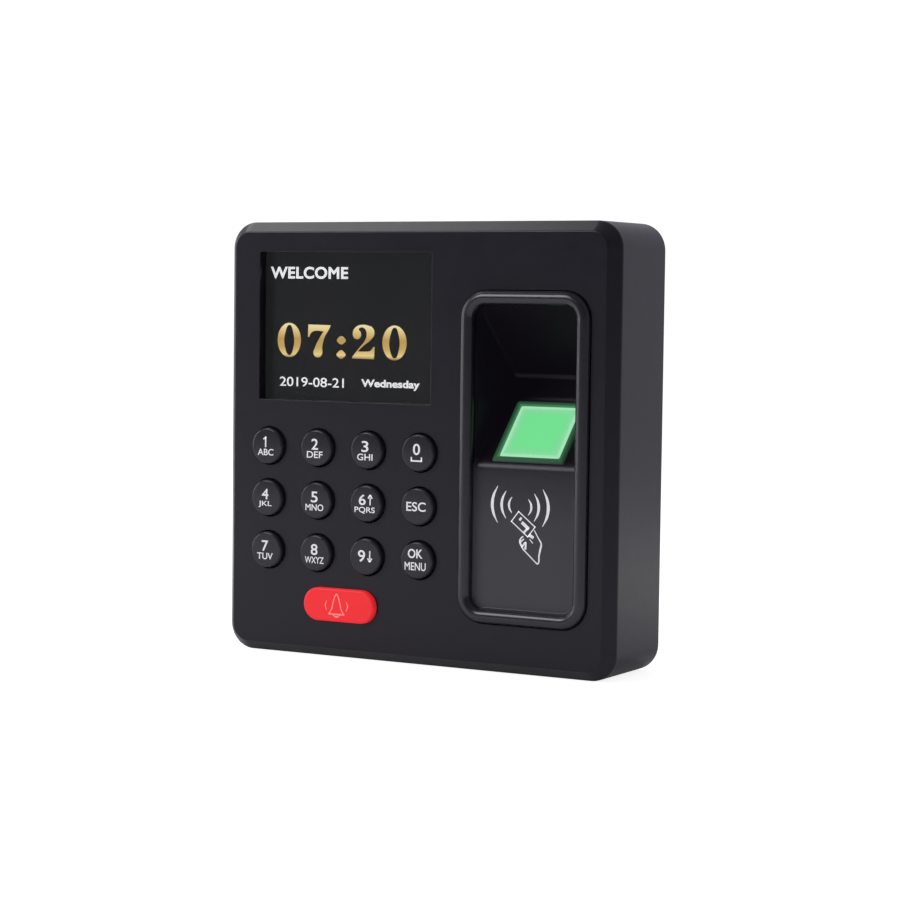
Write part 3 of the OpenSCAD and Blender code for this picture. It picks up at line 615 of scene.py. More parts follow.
def build_housing():
    """The shell: sides, bevel, and a front with an opening for each part behind it."""
    bm = bmesh.new()
    corner = [(WALL, SKIN), (WALL, BODY_D), (0.8, BODY_D), (0, BODY_D - 0.8), (0, BEVEL_D),
              (BEVEL_W, 0), (BEVEL_W + 2, 0)]
    side = fillet(corner, [0, 0.2, 0.3, 0.9, 1.2, 0.55, 0])[:-1]
    inner, outer = stack(bm, [(case_loop(i), d) for i, d in side])
    holes = [display_loop, bell_loop, lambda g: reader_loop(-SLIP - g)]
    for name in KEYS:
        kx, kz = middle(name)
        holes.append(lambda g, kx=kx, kz=kz: circle(kx, kz, KEY_R + KEY_GAP + g, 48))
    fronts, backs = [outer], [inner]
    for hole in holes:
        rim = fillet([(RIM * 2, 0), (0, 0), (0, SKIN)], [0, RIM, 0], 4)[1:]
        first, last = stack(bm, [(hole(g), d) for g, d in rim])
        fronts.append(first)
        backs.append(last)
    fill_between(bm, fronts)
    fill_between(bm, backs)
    boss_x, boss_z = BODY_W / 2 - WALL - BOSS_IN, BODY_H / 2 - WALL - BOSS_IN
    for sx in (-1, 1):
        for sz in (-1, 1):
            tube(bm, sx * boss_x, sz * boss_z, 1.1, 2.6, SKIN + LIFT, box_mm("rear_cover")[2] + 2.0)
    for px, pz in PCB_POSTS:
        tube(bm, px, pz, 0.9, 1.9, SKIN + LIFT, box_mm("main_pcb")[2])
    piece = finish_mesh("housing_shell", bm, MATERIALS["case_plastic"],
                        nodes=["front_housing"])
    return weighted(piece)


build_housing()

# ---------------------------------------------------------------- reader

# The recess runs back from the bead's mouth, down a roof and up a shelf that leans like a V.
MOUTH_W, MOUTH_H, MOUTH_R = READER_W - 4 * BEAD_R, READER_H - 4 * BEAD_R, READER_R - 2 * BEAD_R
MOUTH_TOP, MOUTH_BOTTOM = READER_Z + MOUTH_H / 2, READER_Z - MOUTH_H / 2
PANEL_D = 1.0
BEAD_STEPS = 24
SHELF_LEAN = math.radians(43.5)
SHELF_FOOT = (PANEL_D, -4.4)
DEEP_D = 22.2
DEEP_Z = SHELF_FOOT[1] + (DEEP_D - SHELF_FOOT[0]) / math.tan(SHELF_LEAN)
ROOF_D = 2.2
wx0, wx1 = box_mm("sensor_window")[:2]
WINDOW_U, WINDOW_HALF = 11.6, (wx1 - wx0) / 2
SEAL_HALF = 10.3
WALL_ROUND, WALL_STEPS, ROUND_STEPS, CORNER_STEPS = 1.1, 4, 6, 12
ROW_GAP = 2.0                 # the most between two rows of the recess's floor
NEAR = 0.001                  # how near to a row's end, as a share, a new row would be a double


def build_bead():
    """The reader's raised frame, its flange behind the face and its screw lugs."""
    bm = bmesh.new()
    section = [(0, SKIN), (0, 0.0)]
    for i in range(1, BEAD_STEPS + 1):
        a = math.pi * i / BEAD_STEPS
        section.append((BEAD_R - BEAD_R * math.cos(a), -BEAD_R * math.sin(a)))
    section += [(2 * BEAD_R + 0.02, 0.06), (2 * BEAD_R + 0.02, 0.8), (2.4, 0.8), (2.4, 4.2),
                (-READER_FLANGE, 4.2), (-READER_FLANGE, SKIN), (0, SKIN)]
    stack(bm, [(reader_loop(i), d) for i, d in section])
    for sx in (-1, 1):
        for z in LUG_Z:
            tube(bm, READER_X + sx * LUG_X, z, 1.65, 3.4, 2.62, 4.18)
    piece = finish_mesh("reader_bead", bm, MATERIALS["reader_plastic"],
                        nodes=["reader_frame"])
    return weighted(piece)


def shelf_point(u):
    return (SHELF_FOOT[0] + u * math.sin(SHELF_LEAN), SHELF_FOOT[1] + u * math.cos(SHELF_LEAN))


def seal_ends():
    """Z of the seal's lower and upper edges on the shelf."""
    return [shelf_point(WINDOW_U + way * SEAL_HALF)[1] for way in (-1, 1)]


def recess_rows():
    """(z, depth) of the recess's floor, from the top of the mouth to its bottom."""
    corners = [(MOUTH_TOP, 0), (MOUTH_TOP, ROOF_D), (DEEP_Z, DEEP_D),
               (SHELF_FOOT[1], SHELF_FOOT[0]), (MOUTH_BOTTOM, PANEL_D), (MOUTH_BOTTOM, 0)]
    line = fillet(corners, [0, 0.5, 1.2, 3.2, 0.35, 0], 7)
    ends = seal_ends()
    rows = [line[0]]
    for a, b in zip(line, line[1:]):
        stops = {0.0, 1.0}
        dz = b[0] - a[0]
        if abs(dz) > 1e-6:
            for end in ends:
                t = (end - a[0]) / dz
                if NEAR < t < 1 - NEAR:
                    stops.add(t)
            for k in range(CORNER_STEPS + 1):
                bend = MOUTH_R * (1 - math.cos(math.radians(90 * k / CORNER_STEPS)))
                for z in (MOUTH_TOP - bend, MOUTH_BOTTOM + bend):
                    t = (z - a[0]) / dz
                    if NEAR < t < 1 - NEAR:
                        stops.add(t)
            count = int(abs(dz) / ROW_GAP)
            stops.update(k / count for k in range(1, count))
        ordered = sorted(stops)
        for t in ordered[1:]:
            rows.append((a[0] + dz * t, a[1] + (b[1] - a[1]) * t))
    return rows


def half_width(z):
    edge = MOUTH_TOP - z if z > READER_Z else z - MOUTH_BOTTOM
    if edge >= MOUTH_R:
        return MOUTH_W / 2
    lift = MOUTH_R - max(edge, 0)
    return MOUTH_W / 2 - MOUTH_R + math.sqrt(max(MOUTH_R ** 2 - lift ** 2, 0))


def build_recess():
    """The finger recess and the card panel: one skin with a hole where the seal sits."""
    bm = bmesh.new()
    rows = []
    split = SEAL_HALF / (MOUTH_W / 2 - WALL_ROUND)
    floor_cols = [-1, -(1 + split) / 2, -split, -split / 2, 0, split / 2, split, (1 + split) / 2, 1]
    for z, depth in recess_rows():
        half = half_width(z)
        r = min(WALL_ROUND, 0.8 * depth, half)
        section = []
        for k in range(WALL_STEPS + 1):
            section.append((half, (depth - r) * k / WALL_STEPS))
        for k in range(1, ROUND_STEPS + 1):
            a = math.radians(90 * k / ROUND_STEPS)
            section.append((half - r + r * math.cos(a), depth - r + r * math.sin(a)))
        right = list(reversed(section[:-1]))
        flat = [(c * (half - r), depth) for c in floor_cols]
        left_part = [(-x, d) for x, d in section[:-1]]
        rows.append([bm.verts.new(mm(READER_X + x, d, z)) for x, d in left_part + flat + right])
    ends = seal_ends()
    for a, b in zip(rows, rows[1:]):
        for i in range(len(a) - 1):
            quad = (a[i], a[i + 1], b[i + 1], b[i])
            centre = sum((v.co for v in quad), Vector()) / 4
            depth = centre.y - FRONT_Y / MM
            shelf_d = SHELF_FOOT[0] + (centre.z - SHELF_FOOT[1]) * math.tan(SHELF_LEAN)
            on_shelf = ends[0] < centre.z < ends[1] and abs(depth - shelf_d) < 0.3
            if not (on_shelf and abs(centre.x - READER_X) < SEAL_HALF):
                bm.faces.new(quad)
    piece = finish_mesh("reader_recess", bm, recess_plastic())
    thick = piece.modifiers.new("skin", "SOLIDIFY")
    thick.thickness = 1.2 * MM
    facing = sum(face.normal.y * face.area for face in piece.data.polygons)
    thick.offset = -1 if facing < 0 else 1
    return piece


build_bead()
build_recess()

# the shelf's own frame: X across, Y up the slope, Z out of it
shelf_d, shelf_z = shelf_point(WINDOW_U)
SHELF = Matrix.Translation(at(READER_X, shelf_d, shelf_z)) @ Matrix.Rotation(
    math.pi / 2 - SHELF_LEAN, 4, "X")


def local_stack(bm, levels):
    """Skins square loops in the shelf's frame: (half side, corner radius, height)."""
    rings = []
    for half, r, height in levels:
        loop = rrect(0, 0, 2 * half, 2 * half, r, 6)
        rings.append([bm.verts.new((x, y, height)) for x, y in loop])
    for a, b in zip(rings, rings[1:]):
        bridge(bm, a, b)
    return rings


def build_seal():
    bm = bmesh.new()
    profile = fillet([(SEAL_HALF, -1.6), (SEAL_HALF, 0), (SEAL_HALF - 0.6, 0.4),
                      (WINDOW_HALF + 0.3, 0.4), (WINDOW_HALF + 0.05, 0.15),
                      (WINDOW_HALF + 0.05, -1.6)], [0, 0.1, 0.3, 0.3, 0.1, 0], 3)
    profile.append(profile[0])
    local_stack(bm, [(half, 0.5 + 0.5 * (half - WINDOW_HALF) / 1.8, h) for half, h in profile])
    return finish_mesh("sensor_seal_ring", bm, SEAL, nodes=["sensor_seal"],
                       matrix=SHELF)


def build_window():
    bm = bmesh.new()
    profile = fillet([(WINDOW_HALF, -1.6), (WINDOW_HALF, 0.15), (0, 0.15)], [0, 0.12, 0], 4)[:-1]
    rings = local_stack(bm, [(h, 0.5, z) for h, z in profile])
    fill_between(bm, [rings[-1]], (0, 1))
    fill_between(bm, [rings[0]], (0, 1))
    return weighted(finish_mesh("sensor_window_glass", bm, sensor_glass(WINDOW_HALF * MM),
                                nodes=["sensor_window"], matrix=SHELF))


def seal_material():
    """Rubber that picks up the window's light, most of it along its inner edge."""
    mat = moulded("sensor seal rubber", srgb(22, 28, 25), 0.5, grain=0.006)
    nodes, links = mat.node_tree.nodes, mat.node_tree.links
    bsdf = nodes["Principled BSDF"]
    coord = nodes.new("ShaderNodeTexCoord").outputs["Object"]
    reach = add_range(nodes, links, off_centre(nodes, links, coord), (SEAL_HALF - 1.8) * MM,
                      SEAL_HALF * MM, 0, 1)
    links.new(add_ramp(nodes, links, reach, [
        (0.0, srgb(74, 144, 96)), (0.35, srgb(48, 98, 64)), (1.0, srgb(27, 50, 35))]),
              bsdf.inputs["Emission Color"])
    bsdf.inputs["Emission Strength"].default_value = 0.8
    return mat


SEAL = seal_material()
build_seal()
build_window()

# ---------------------------------------------------------------- keys and button


def build_key(name):
    bm = bmesh.new()
    kx, kz = middle(name)
    top = -KEY_RISE
    _, _, _, end, _, _ = box_mm(name)
    shoulder = SKIN + SLIP
    profile = fillet([(0, top - 0.02), (KEY_R, top + 0.06), (KEY_R, shoulder),
                      (KEY_R + FLANGE, shoulder), (KEY_R + FLANGE, shoulder + FLANGE_T),
                      (STEM_R, shoulder + FLANGE_T), (STEM_R, end), (0, end)],
                     [0, 0.6, 0.1, 0.1, 0.1, 0.1, 0.1, 0], 6)
    lathe(bm, kx, kz, profile, 72)
    piece = finish_mesh(name + "_cap", bm, MATERIALS["key_black"], body=name,
                        nodes=[name])
    return weighted(piece)


for key in KEYS:
    build_key(key)


def build_bell():
    bm = bmesh.new()
    top = -KEY_RISE
    _, _, _, end, _, _ = box_mm("doorbell_button")
    shoulder = SKIN + SLIP
    back = shoulder + FLANGE_T
    profile = fillet([(-2, top), (0, top), (0, shoulder), (FLANGE, shoulder), (FLANGE, back)],
                     [0, 0.65, 0.1, 0.1, 0], 6)[1:]
    first, last = stack(bm, [(bell_loop(g), d) for g, d in profile])
    fill_between(bm, [first])
    fill_between(bm, [last])
    lathe(bm, BELL[0], BELL[1], [(0, back), (STEM_R, back), (STEM_R, end), (0, end)], 32)
    piece = finish_mesh("doorbell_cap", bm, MATERIALS["bell_red"],
                        body="doorbell_button", nodes=["doorbell_button"])
    return weighted(piece)


build_bell()

# ---------------------------------------------------------------- marks


INK = 0.02                    # how thick a mark is
ABOVE = 0.012                 # how far its back stands off the face


def settle_marks(name, mesh, material, body):
    mesh.materials.clear()
    mesh.materials.append(material)
    piece = bpy.data.objects.new(name, mesh)
    scene.collection.objects.link(piece)
    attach(piece, body)
    return piece


def flat_mesh(curve, name):
    """The filled mesh of a 2D curve or text."""
    holder = bpy.data.objects.new(name + "_curve", curve)
    scene.collection.objects.link(holder)
    bpy.context.view_layer.update()
    graph = bpy.context.evaluated_depsgraph_get()
    mesh = bpy.data.meshes.new_from_object(holder.evaluated_get(graph))
    bpy.data.objects.remove(holder)
    mesh.name = name
    return mesh


def lay_flat(mesh, x0, x1, z0, z1, depth):
    """Fits a mesh from the XY plane to a box on a plane that faces the front."""
    co = [v.co.copy() for v in mesh.vertices]
    lx, hx = min(c.x for c in co), max(c.x for c in co)
    ly, hy = min(c.y for c in co), max(c.y for c in co)
    lz, hz = min(c.z for c in co), max(c.z for c in co)
    for v, c in zip(mesh.vertices, co):
        tz = (c.z - lz) / (hz - lz) if hz > lz else 0
        v.co = at(x0 + (x1 - x0) * (c.x - lx) / (hx - lx), depth - INK * tz,
                  z0 + (z1 - z0) * (c.y - ly) / (hy - ly))
    mesh.update()


def words(name, text, cx, cz, w, h, depth, material, body="root", bold=0.0, spacing=1.0):
    """Text fitted to a box. bold is how far its edges grow, as a share of its size."""
    curve = bpy.data.curves.new(name, "FONT")
    curve.body = text
    curve.size = 10.0
    curve.bevel_depth = bold * curve.size
    curve.bevel_resolution = 0
    curve.space_character = spacing
    curve.extrude = 0.1
    mesh = flat_mesh(curve, name)
    lay_flat(mesh, cx - w / 2, cx + w / 2, cz - h / 2, cz + h / 2, depth)
    return settle_marks(name, mesh, material, body)


def outline(name, loops, box, depth, material):
    """A filled shape from closed loops of (x, y, 'c' for a corner). box is (x0, x1, z0, z1)."""
    curve = bpy.data.curves.new(name, "CURVE")
    curve.dimensions = "2D"
    curve.fill_mode = "BOTH"
    curve.resolution_u = 10
    curve.extrude = 0.01
    for loop in loops:
        spline = curve.splines.new("BEZIER")
        spline.bezier_points.add(len(loop) - 1)
        for point, knot in zip(spline.bezier_points, loop):
            point.co = (knot[0], knot[1], 0)
            kind = "VECTOR" if len(knot) > 2 else "AUTO"
            point.handle_left_type = kind
            point.handle_right_type = kind
        spline.use_cyclic_u = True
    mesh = flat_mesh(curve, name)
    lay_flat(mesh, *box, depth)
    return settle_marks(name, mesh, material, "root")


def smooth_path(points, steps=8):
    """Catmull-Rom through 2D points."""
    out = []
    pts = [Vector(p) for p in points]
    pts = [2 * pts[0] - pts[1]] + pts + [2 * pts[-1] - pts[-2]]
    for i in range(1, len(pts) - 2):
        a, b, c, d = pts[i - 1:i + 3]
        for k in range(steps):
            t = k / steps
            out.append(0.5 * ((2 * b) + (c - a) * t + (2 * a - 5 * b + 4 * c - d) * t * t
                              + (3 * b - a - 3 * c + d) * t ** 3))
    out.append(pts[-2])
    return out


def stroke(bm, points, widths, depth):
    """A painted line of changing width through points in (x, z), curved if there are over two."""
    path = smooth_path(points) if len(points) > 2 else [Vector(p) for p in points]
    n = len(path)
    left, right = [], []
    for i, p in enumerate(path):
        a, b = path[max(i - 1, 0)], path[min(i + 1, n - 1)]
        t = (b - a).normalized()
        normal = Vector((-t.y, t.x))
        stretch = 1
        if 0 < i < n - 1:
            stretch = 1 / max(abs((p - a).normalized().dot(t)), 0.5)
        s = i / (n - 1) * (len(widths) - 1)
        k = min(int(s), len(widths) - 2) if len(widths) > 1 else 0
        w = widths[k] + (widths[k + 1] - widths[k]) * (s - k) if len(widths) > 1 else widths[0]
        left.append(p + normal * w / 2 * stretch)
        right.append(p - normal * w / 2 * stretch)
    (l0, r0), (l1, r1) = [[ring_verts(bm, side, d) for side in (left, right)]
                          for d in (depth, depth - INK)]
    for i in range(n - 1):
        j = i + 1
        bm.faces.new((l1[i], l1[j], r1[j], r1[i]))
        bm.faces.new((l0[i], r0[i], r0[j], l0[j]))
        bm.faces.new((l0[i], l0[j], l1[j], l1[i]))
        bm.faces.new((r0[i], r1[i], r1[j], r0[j]))
    for i in (0, n - 1):
        bm.faces.new((l0[i], l1[i], r1[i], r0[i]))


def marks(name, draw, material, body="root"):
    """A piece made of strokes. draw is a function that adds them to a bmesh."""
    bm = bmesh.new()
    draw(bm)
    return finish_mesh(name, bm, material, body=body, smooth=False, weld=False)


# (text, x from the key's middle, z from it, width, height, and boldness where it isn't BOLD)
LEGENDS = {
    "key_1": [("ABC", -0.3, -1.7, 5.0, 1.75)],
    "key_2": [("2", -0.25, 1.0, 2.1, 2.9), ("DEF", -0.25, -1.75, 4.9, 1.75)],
    "key_3": [("3", -0.25, 1.0, 2.1, 2.9), ("GHI", -0.25, -1.75, 4.7, 1.75)],
    "key_0": [("0", -0.2, 0.9, 2.1, 2.9)],
    "key_4": [("4", -0.35, 1.0, 2.1, 2.8), ("JKL", -0.35, -1.75, 4.2, 1.75)],
    "key_5": [("5", -0.25, 0.95, 2.1, 2.9), ("MNO", -0.2, -1.8, 5.6, 1.75)],
    "key_6": [("6", -0.9, 1.0, 2.1, 2.8), ("PQRS", -0.15, -1.75, 6.2, 1.75)],
    "key_esc": [("ESC", -0.15, 0.0, 5.8, 2.4)],
    "key_7": [("7", -0.25, 1.0, 2.1, 2.9), ("TUV", -0.25, -1.75, 5.0, 1.75)],
    "key_8": [("8", -0.15, 0.95, 2.1, 2.9), ("WXYZ", -0.1, -1.85, 5.9, 1.75)],
    "key_9": [("9", -0.95, 0.15, 2.2, 3.1)],
    "key_ok": [("OK", -0.2, 1.75, 4.4, 2.4, 0.02), ("MENU", -0.2, -1.55, 6.3, 2.1)],
}
MARK_D = -KEY_RISE - ABOVE
BOLD = 0.012

for key, lines in LEGENDS.items():
    kx, kz = middle(key)
    for i, (text, dx, dz, w, h, *bolder) in enumerate(lines):
        words(f"{key}_legend_{i}", text, kx + dx, kz + dz, w, h, MARK_D, LEGEND,
              body=key, bold=bolder[0] if bolder else BOLD)


def arrow(bm, x, z_tail, z_head):
    """A thin shaft with a heavier head."""
    turn = 1 if z_head > z_tail else -1
    stroke(bm, [(x, z_tail), (x, z_head - turn * 0.7)], [0.36], MARK_D)
    for side in (-1, 1):
        stroke(bm, [(x + side * 0.62, z_head - turn * 0.95), (x, z_head)], [0.42], MARK_D)


def draw_up(bm, x, z):
    arrow(bm, x + 1.5, z - 0.35, z + 2.35)


def draw_down(bm, x, z):
    arrow(bm, x + 1.55, z + 1.6, z - 1.3)


def draw_one(bm, x, z):
    stroke(bm, [(x - 0.3, z + 2.4), (x - 0.3, z - 0.4)], [0.42], MARK_D)
    stroke(bm, [(x - 1.0, z + 1.72), (x - 0.18, z + 2.3)], [0.36], MARK_D)


def draw_space(bm, x, z):
    for x0, z0, x1, z1 in ((-1.7, -1.1, -1.7, -2.1), (-1.85, -2.1, 1.45, -2.1),
                           (1.3, -2.1, 1.3, -1.1)):
        stroke(bm, [(x + x0, z + z0), (x + x1, z + z1)], [0.4], MARK_D)


for key, name, draw in (("key_6", "arrow", draw_up), ("key_9", "arrow", draw_down),
                        ("key_1", "figure", draw_one), ("key_0", "space", draw_space)):
    marks(f"{key}_{name}", lambda bm: draw(bm, *middle(key)), LEGEND, body=key)


def draw_bell(bm):
    """A bell in outline, its clapper and two waves on each side."""
    x, z, d = BELL[0] - 0.45, BELL[1], MARK_D
    right = [(0.0, 3.05), (0.55, 2.2), (1.05, 0.6), (1.5, -1.1), (2.35, -2.3)]
    for s in (-1, 1):
        stroke(bm, [(x + s * px, z + pz) for px, pz in right], [0.3], d)
        stroke(bm, [(x + s * 3.0, z + 1.15), (x + s * 3.45, z - 0.1), (x + s * 3.0, z - 1.4)],
               [0.12, 0.34, 0.12], d)
    stroke(bm, [(x - 2.5, z - 2.35), (x + 2.5, z - 2.35)], [0.34], d)
    stroke(bm, [(x - 1.0, z - 2.6), (x, z - 3.05), (x + 1.0, z - 2.6)], [0.2, 0.5, 0.2], d)


marks("doorbell_mark", draw_bell, BELL_MARK, body="doorbell_button")

# ---------------------------------------------------------------- card symbol


def draw_card(bm):
    """Three waves on each side, a tilted card and a hand that holds it."""
    d = PANEL_D - ABOVE
    x, z = READER_X - 1.25, MOUTH_BOTTOM + 26.8
    for reach, tall, heavy in ((8.0, 4.7, 0.85), (5.3, 3.5, 0.75), (3.2, 2.05, 0.6)):
        for s, drop in ((-1, 0.0), (1, -0.35)):
            bend = 0.26 * tall + 0.35
            wave = [(bend, 1), (bend * 0.25, 0.5), (0, 0), (bend * 0.25, -0.5), (bend, -1)]
            stroke(bm, [(x + s * (reach - back), z + tall * up + drop) for back, up in wave],
                   [0.12, heavy * 0.8, heavy, heavy * 0.8, 0.12], d)
    cx, cz = READER_X - 0.3, z - 4.7
    tilt = math.radians(-38)

    def turned(px, pz):
        return (cx + px * math.cos(tilt) - pz * math.sin(tilt),
                cz + px * math.sin(tilt) + pz * math.cos(tilt))

    card = [turned(px, pz) for px, pz in ((-3.0, 1.65), (3.0, 1.65), (3.0, -1.65), (-3.0, -1.65))]
    for a, b in zip(card, card[1:] + card[:1]):
        step = (Vector(b) - Vector(a)).normalized() * 0.14
        stroke(bm, [tuple(Vector(a) - step), tuple(Vector(b) + step)], [0.28], d)
    for x0, z0, x1, z1, width in ((-1.7, 0.5, -1.1, 0.5, 0.9), (-0.6, 0.1, 2.0, 0.1, 0.85),
                                  (1.6, 0.0, 1.5, -1.6, 0.6)):
        stroke(bm, [turned(x0, z0), turned(x1, z1)], [width], d)
    # the hand, from the card's middle: its back, palm, fingers and the marks on them
    hand = [
        ([(3.2, -1.4), (4.3, -3.2), (5.2, -4.7), (4.9, -6.4), (4.6, -7.9), (4.6, -9.3),
          (4.2, -9.9)], [0.26, 0.3, 0.42, 0.5, 0.42, 0.36, 0.3]),
        ([(4.2, -9.9), (3.0, -8.9), (1.4, -7.5), (0.1, -6.4)], [0.3]),
        ([(0.1, -6.4), (-0.6, -5.2), (-0.9, -4.4), (-0.5, -3.5), (0.1, -3.1)],
         [0.34, 0.5, 0.5, 0.4, 0.3]),
        ([(-0.8, -4.7), (0.3, -3.7)], [0.32]),
        ([(-0.3, -5.8), (0.75, -4.6), (0.7, -6.4)], [0.5, 0.4, 0.6]),
        ([(1.6, -2.6), (3.0, -3.3)], [0.75]),
        ([(1.9, -3.7), (2.8, -4.7)], [0.24])]
    for points, widths in hand:
        stroke(bm, [(cx + px, cz + pz) for px, pz in points], widths, d)


marks("card_symbol", draw_card, LEGEND)

# ---------------------------------------------------------------- display


def build_glass():
    bm = bmesh.new()
    wx0, wx1, wd0, wd1, wz0, wz1 = box_mm("display_window")
    cx, cz = middle("display_window")
    levels = fillet([(3, wd0), (0, wd0), (0, wd1), (3, wd1)], [0, 0.15, 0.15, 0], 3)[1:-1]
    first, last = stack(bm, [(rrect(cx, cz, wx1 - wx0 - 2 * i, wz1 - wz0 - 2 * i, 1.0, 5), d)
                             for i, d in levels])
    fill_between(bm, [first])
    fill_between(bm, [last])
    return weighted(finish_mesh("display_glass", bm, display_glass(),
                                nodes=["display_window"]))


build_glass()

LIT_D = box_mm("lcd_panel")[2] - 0.02
words("display_greeting", "WELCOME", -34.4, 44.1, 24.4, 3.2, LIT_D, LIT_WHITE,
      bold=0.03, spacing=1.06)
words("display_date", "2019-08-21", -33.3, 15.1, 20.2, 2.5, LIT_D, LIT_WHITE,
      bold=0.006)
words("display_day", "Wednesday", -8.9, 15.0, 17.8, 2.6, LIT_D, LIT_WHITE,
      bold=0.03)

ZERO = [[(50, 100), (0, 50), (50, 0), (100, 50)],
        [(51, 94), (33, 72), (32, 28), (51, 6), (68, 28), (67, 72)]]
SEVEN = [[(2, 100, "c"), (100, 99, "c"), (97, 92), (74, 62), (64, 34), (63, 10), (44, 0),
          (26, 11), (33, 32), (52, 60), (70, 80, "c"), (26, 80), (14, 74), (6, 62, "c"),
          (0, 62, "c")]]
TWO = [[(0, 1, "c"), (97, 0, "c"), (100, 36, "c"), (94, 36, "c"), (82, 25), (60, 22), (24, 22, "c"),
        (52, 40), (84, 58), (98, 74), (92, 90), (70, 98), (45, 100), (17, 94), (3, 80), (4, 66),
        (18, 58), (34, 62), (39, 73), (33, 82), (28, 86), (34, 91), (46, 92), (60, 84), (64, 70),
        (56, 54), (36, 36), (10, 14), (0, 5, "c")]]
DOT = [[(50, 100), (12, 72), (0, 48), (22, 16), (50, 0), (78, 16), (100, 48), (88, 72)]]
CLOCK = [("zero_a", ZERO, (-44.2, -36.8, 21.6, 30.75)),
         ("seven", SEVEN, (-34.6, -27.5, 21.7, 30.4)), ("two", TWO, (-20.7, -13.8, 21.6, 30.6)),
         ("zero_b", ZERO, (-11.45, -4.1, 21.45, 30.55)),
         ("dot_a", DOT, (-25.5, -22.7, 25.3, 27.5)), ("dot_b", DOT, (-25.55, -22.75, 21.5, 23.8))]
for name, loops, box in CLOCK:
    outline("display_clock_" + name, loops, box, LIT_D, LIT_GOLD)

# ---------------------------------------------------------------- parts that keep their CAD shape

slots = {part["node"]: part["material_slot"] for part in frame["record"]["subparts"]}
for name, node in frame["nodes"].items():
    if node.hide_render:
        continue
    material = MATERIALS[slots[name]]
    if not node.material_slots:
        node.data.materials.append(material)
    for slot in node.material_slots:
        slot.material = material

SOFT_EDGES = {"rear_cover": 0.3, "wall_plate": 0.2, "power_socket": 0.12, "lock_socket": 0.12,
              "data_socket": 0.12, "main_pcb": 0.1, "relay": 0.3, "lock_screw": 0.1,
              "case_screws": 0.08}
for name, size in SOFT_EDGES.items():
    node = frame["nodes"][name]
    bevel = node.modifiers.new("soft edges", "BEVEL")
    bevel.width = size * MM
    bevel.segments = 2
    bevel.limit_method = "ANGLE"
    bevel.angle_limit = math.radians(40)
    bevel.harden_normals = False

# ---------------------------------------------------------------- stage, lights and camera

FLOOR_Z = cad_bounds[0][2]


def make_stage():
    """A pale floor. In reflections only the part behind the terminal is lit."""
    bm = bmesh.new()
    half = 0.8
    corners = [bm.verts.new((sx * half, sy * half, FLOOR_Z)) for sx, sy in
               ((-1, -1), (1, -1), (1, 1), (-1, 1))]
    bm.faces.new(corners)
    mesh = bpy.data.meshes.new("floor")
    bm.to_mesh(mesh)
    bm.free()
    floor = bpy.data.objects.new("floor", mesh)
    scene.collection.objects.link(floor)
    mat, nodes, links, bsdf, coord = new_material("floor paint")
    tone = add_ramp(nodes, links, add_noise(nodes, links, coord, 4.0),
                    [(0.3, (0.9, 0.9, 0.9, 1)), (0.7, (0.93, 0.93, 0.93, 1))])
    links.new(tone, bsdf.inputs["Base Color"])
    links.new(tone, bsdf.inputs["Emission Color"])
    path = nodes.new("ShaderNodeLightPath")
    back = add_range(nodes, links, add_axes(nodes, links, coord)["Y"], 0.0, half, 0.0, 1.0)
    behind = add_ramp(nodes, links, back, [
        (0.02, (0.12, 0.12, 0.12, 1)), (0.22, (0.68, 0.68, 0.68, 1)), (0.32, (0.6, 0.6, 0.6, 1)),
        (0.6, (0.1, 0.1, 0.1, 1))])
    mirrored = add_math(nodes, links, "MULTIPLY", path.outputs["Is Glossy Ray"], behind)
    lit = add_math(nodes, links, "MULTIPLY_ADD", path.outputs["Is Camera Ray"], 0.93, mirrored)
    links.new(lit, bsdf.inputs["Emission Strength"])
    bsdf.inputs["Roughness"].default_value = 0.9
    bsdf.inputs["Specular IOR Level"].default_value = 0.1
    mesh.materials.append(mat)


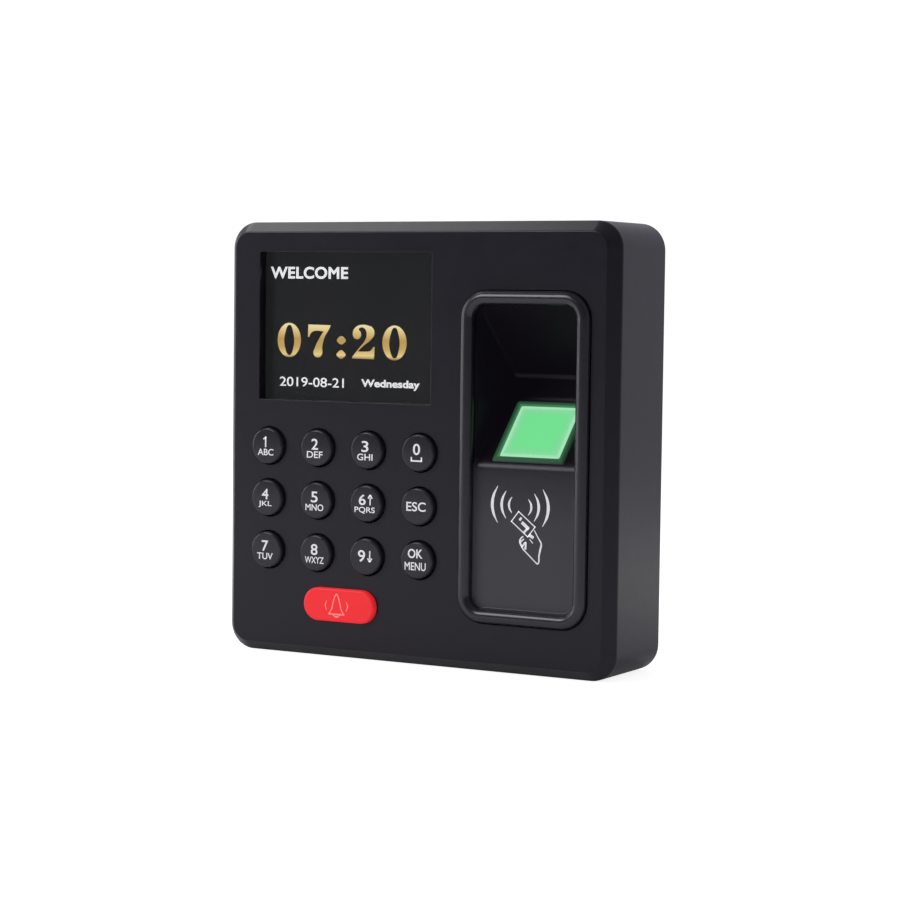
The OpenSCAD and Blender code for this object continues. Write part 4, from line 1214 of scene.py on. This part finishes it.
def make_world():
    """Pure white where the camera looks; for light and reflections, darker in front than behind."""
    world = bpy.data.worlds.new("studio")
    scene.world = world
    world.use_nodes = True
    nodes, links = world.node_tree.nodes, world.node_tree.links
    background = nodes["Background"]
    out = nodes["World Output"]
    coord = nodes.new("ShaderNodeTexCoord").outputs["Generated"]
    to_back = add_range(nodes, links, add_axes(nodes, links, coord)["Y"], -1.0, 1.0, 0.0, 1.0)
    tone = add_ramp(nodes, links, to_back, [
        (0.0, (0.06, 0.058, 0.066, 1)), (0.3, (0.09, 0.088, 0.10, 1)),
        (0.6, (0.28, 0.27, 0.305, 1)), (1.0, (0.50, 0.485, 0.55, 1))])
    links.new(tone, background.inputs["Color"])
    background.inputs["Strength"].default_value = 1.0
    white = nodes.new("ShaderNodeBackground")
    white.inputs["Color"].default_value = (1, 1, 1, 1)
    white.inputs["Strength"].default_value = 1.05
    mix = nodes.new("ShaderNodeMixShader")
    links.new(nodes.new("ShaderNodeLightPath").outputs["Is Camera Ray"], mix.inputs["Fac"])
    links.new(background.outputs[0], mix.inputs[1])
    links.new(white.outputs[0], mix.inputs[2])
    links.new(mix.outputs[0], out.inputs["Surface"])


def area_light(name, place, aim, size_x, size_y, power, colour=(1, 1, 1)):
    data = bpy.data.lights.new(name, "AREA")
    data.shape = "RECTANGLE"
    data.size, data.size_y = size_x, size_y
    data.energy = power
    data.color = colour
    light = bpy.data.objects.new(name, data)
    scene.collection.objects.link(light)
    light.location = place
    light.rotation_euler = (Vector(aim) - Vector(place)).to_track_quat("-Z", "Y").to_euler()
    light.visible_camera = False
    return light


make_stage()
make_world()
area_light("top box", (-0.50, 0.13, 0.64), (0, -0.02, 0), 0.45, 0.4, 0.98)
area_light("key box", (-0.50, -0.75, 0.60), (0, -0.02, 0), 0.5, 0.45, 2.75,
           (0.96, 0.95, 1.0))
area_light("side fill", (-0.75, -0.55, 0.1), (0, -0.02, 0), 0.15, 0.3, 0.52, (0.95, 0.94, 1.0))
area_light("left strip", (-0.9, -0.06, 0.1), (0, -0.02, 0), 0.25, 0.7, 1.3)


def make_camera():
    data = bpy.data.cameras.new("camera")
    data.lens = 97.535
    data.sensor_width = 36.0
    camera = bpy.data.objects.new("camera", data)
    scene.collection.objects.link(camera)
    place = Vector((0.31860, -0.57061, 0.03706))
    aim = Vector((0.01145, FRONT_Y, -0.00095))
    roll = Matrix.Rotation(math.radians(0.722), 3, "Z")
    turn = (aim - place).to_track_quat("-Z", "Y").to_matrix() @ roll
    camera.matrix_world = Matrix.Translation(place) @ turn.to_4x4()
    scene.camera = camera


make_camera()
scene.view_settings.view_transform = "Standard"
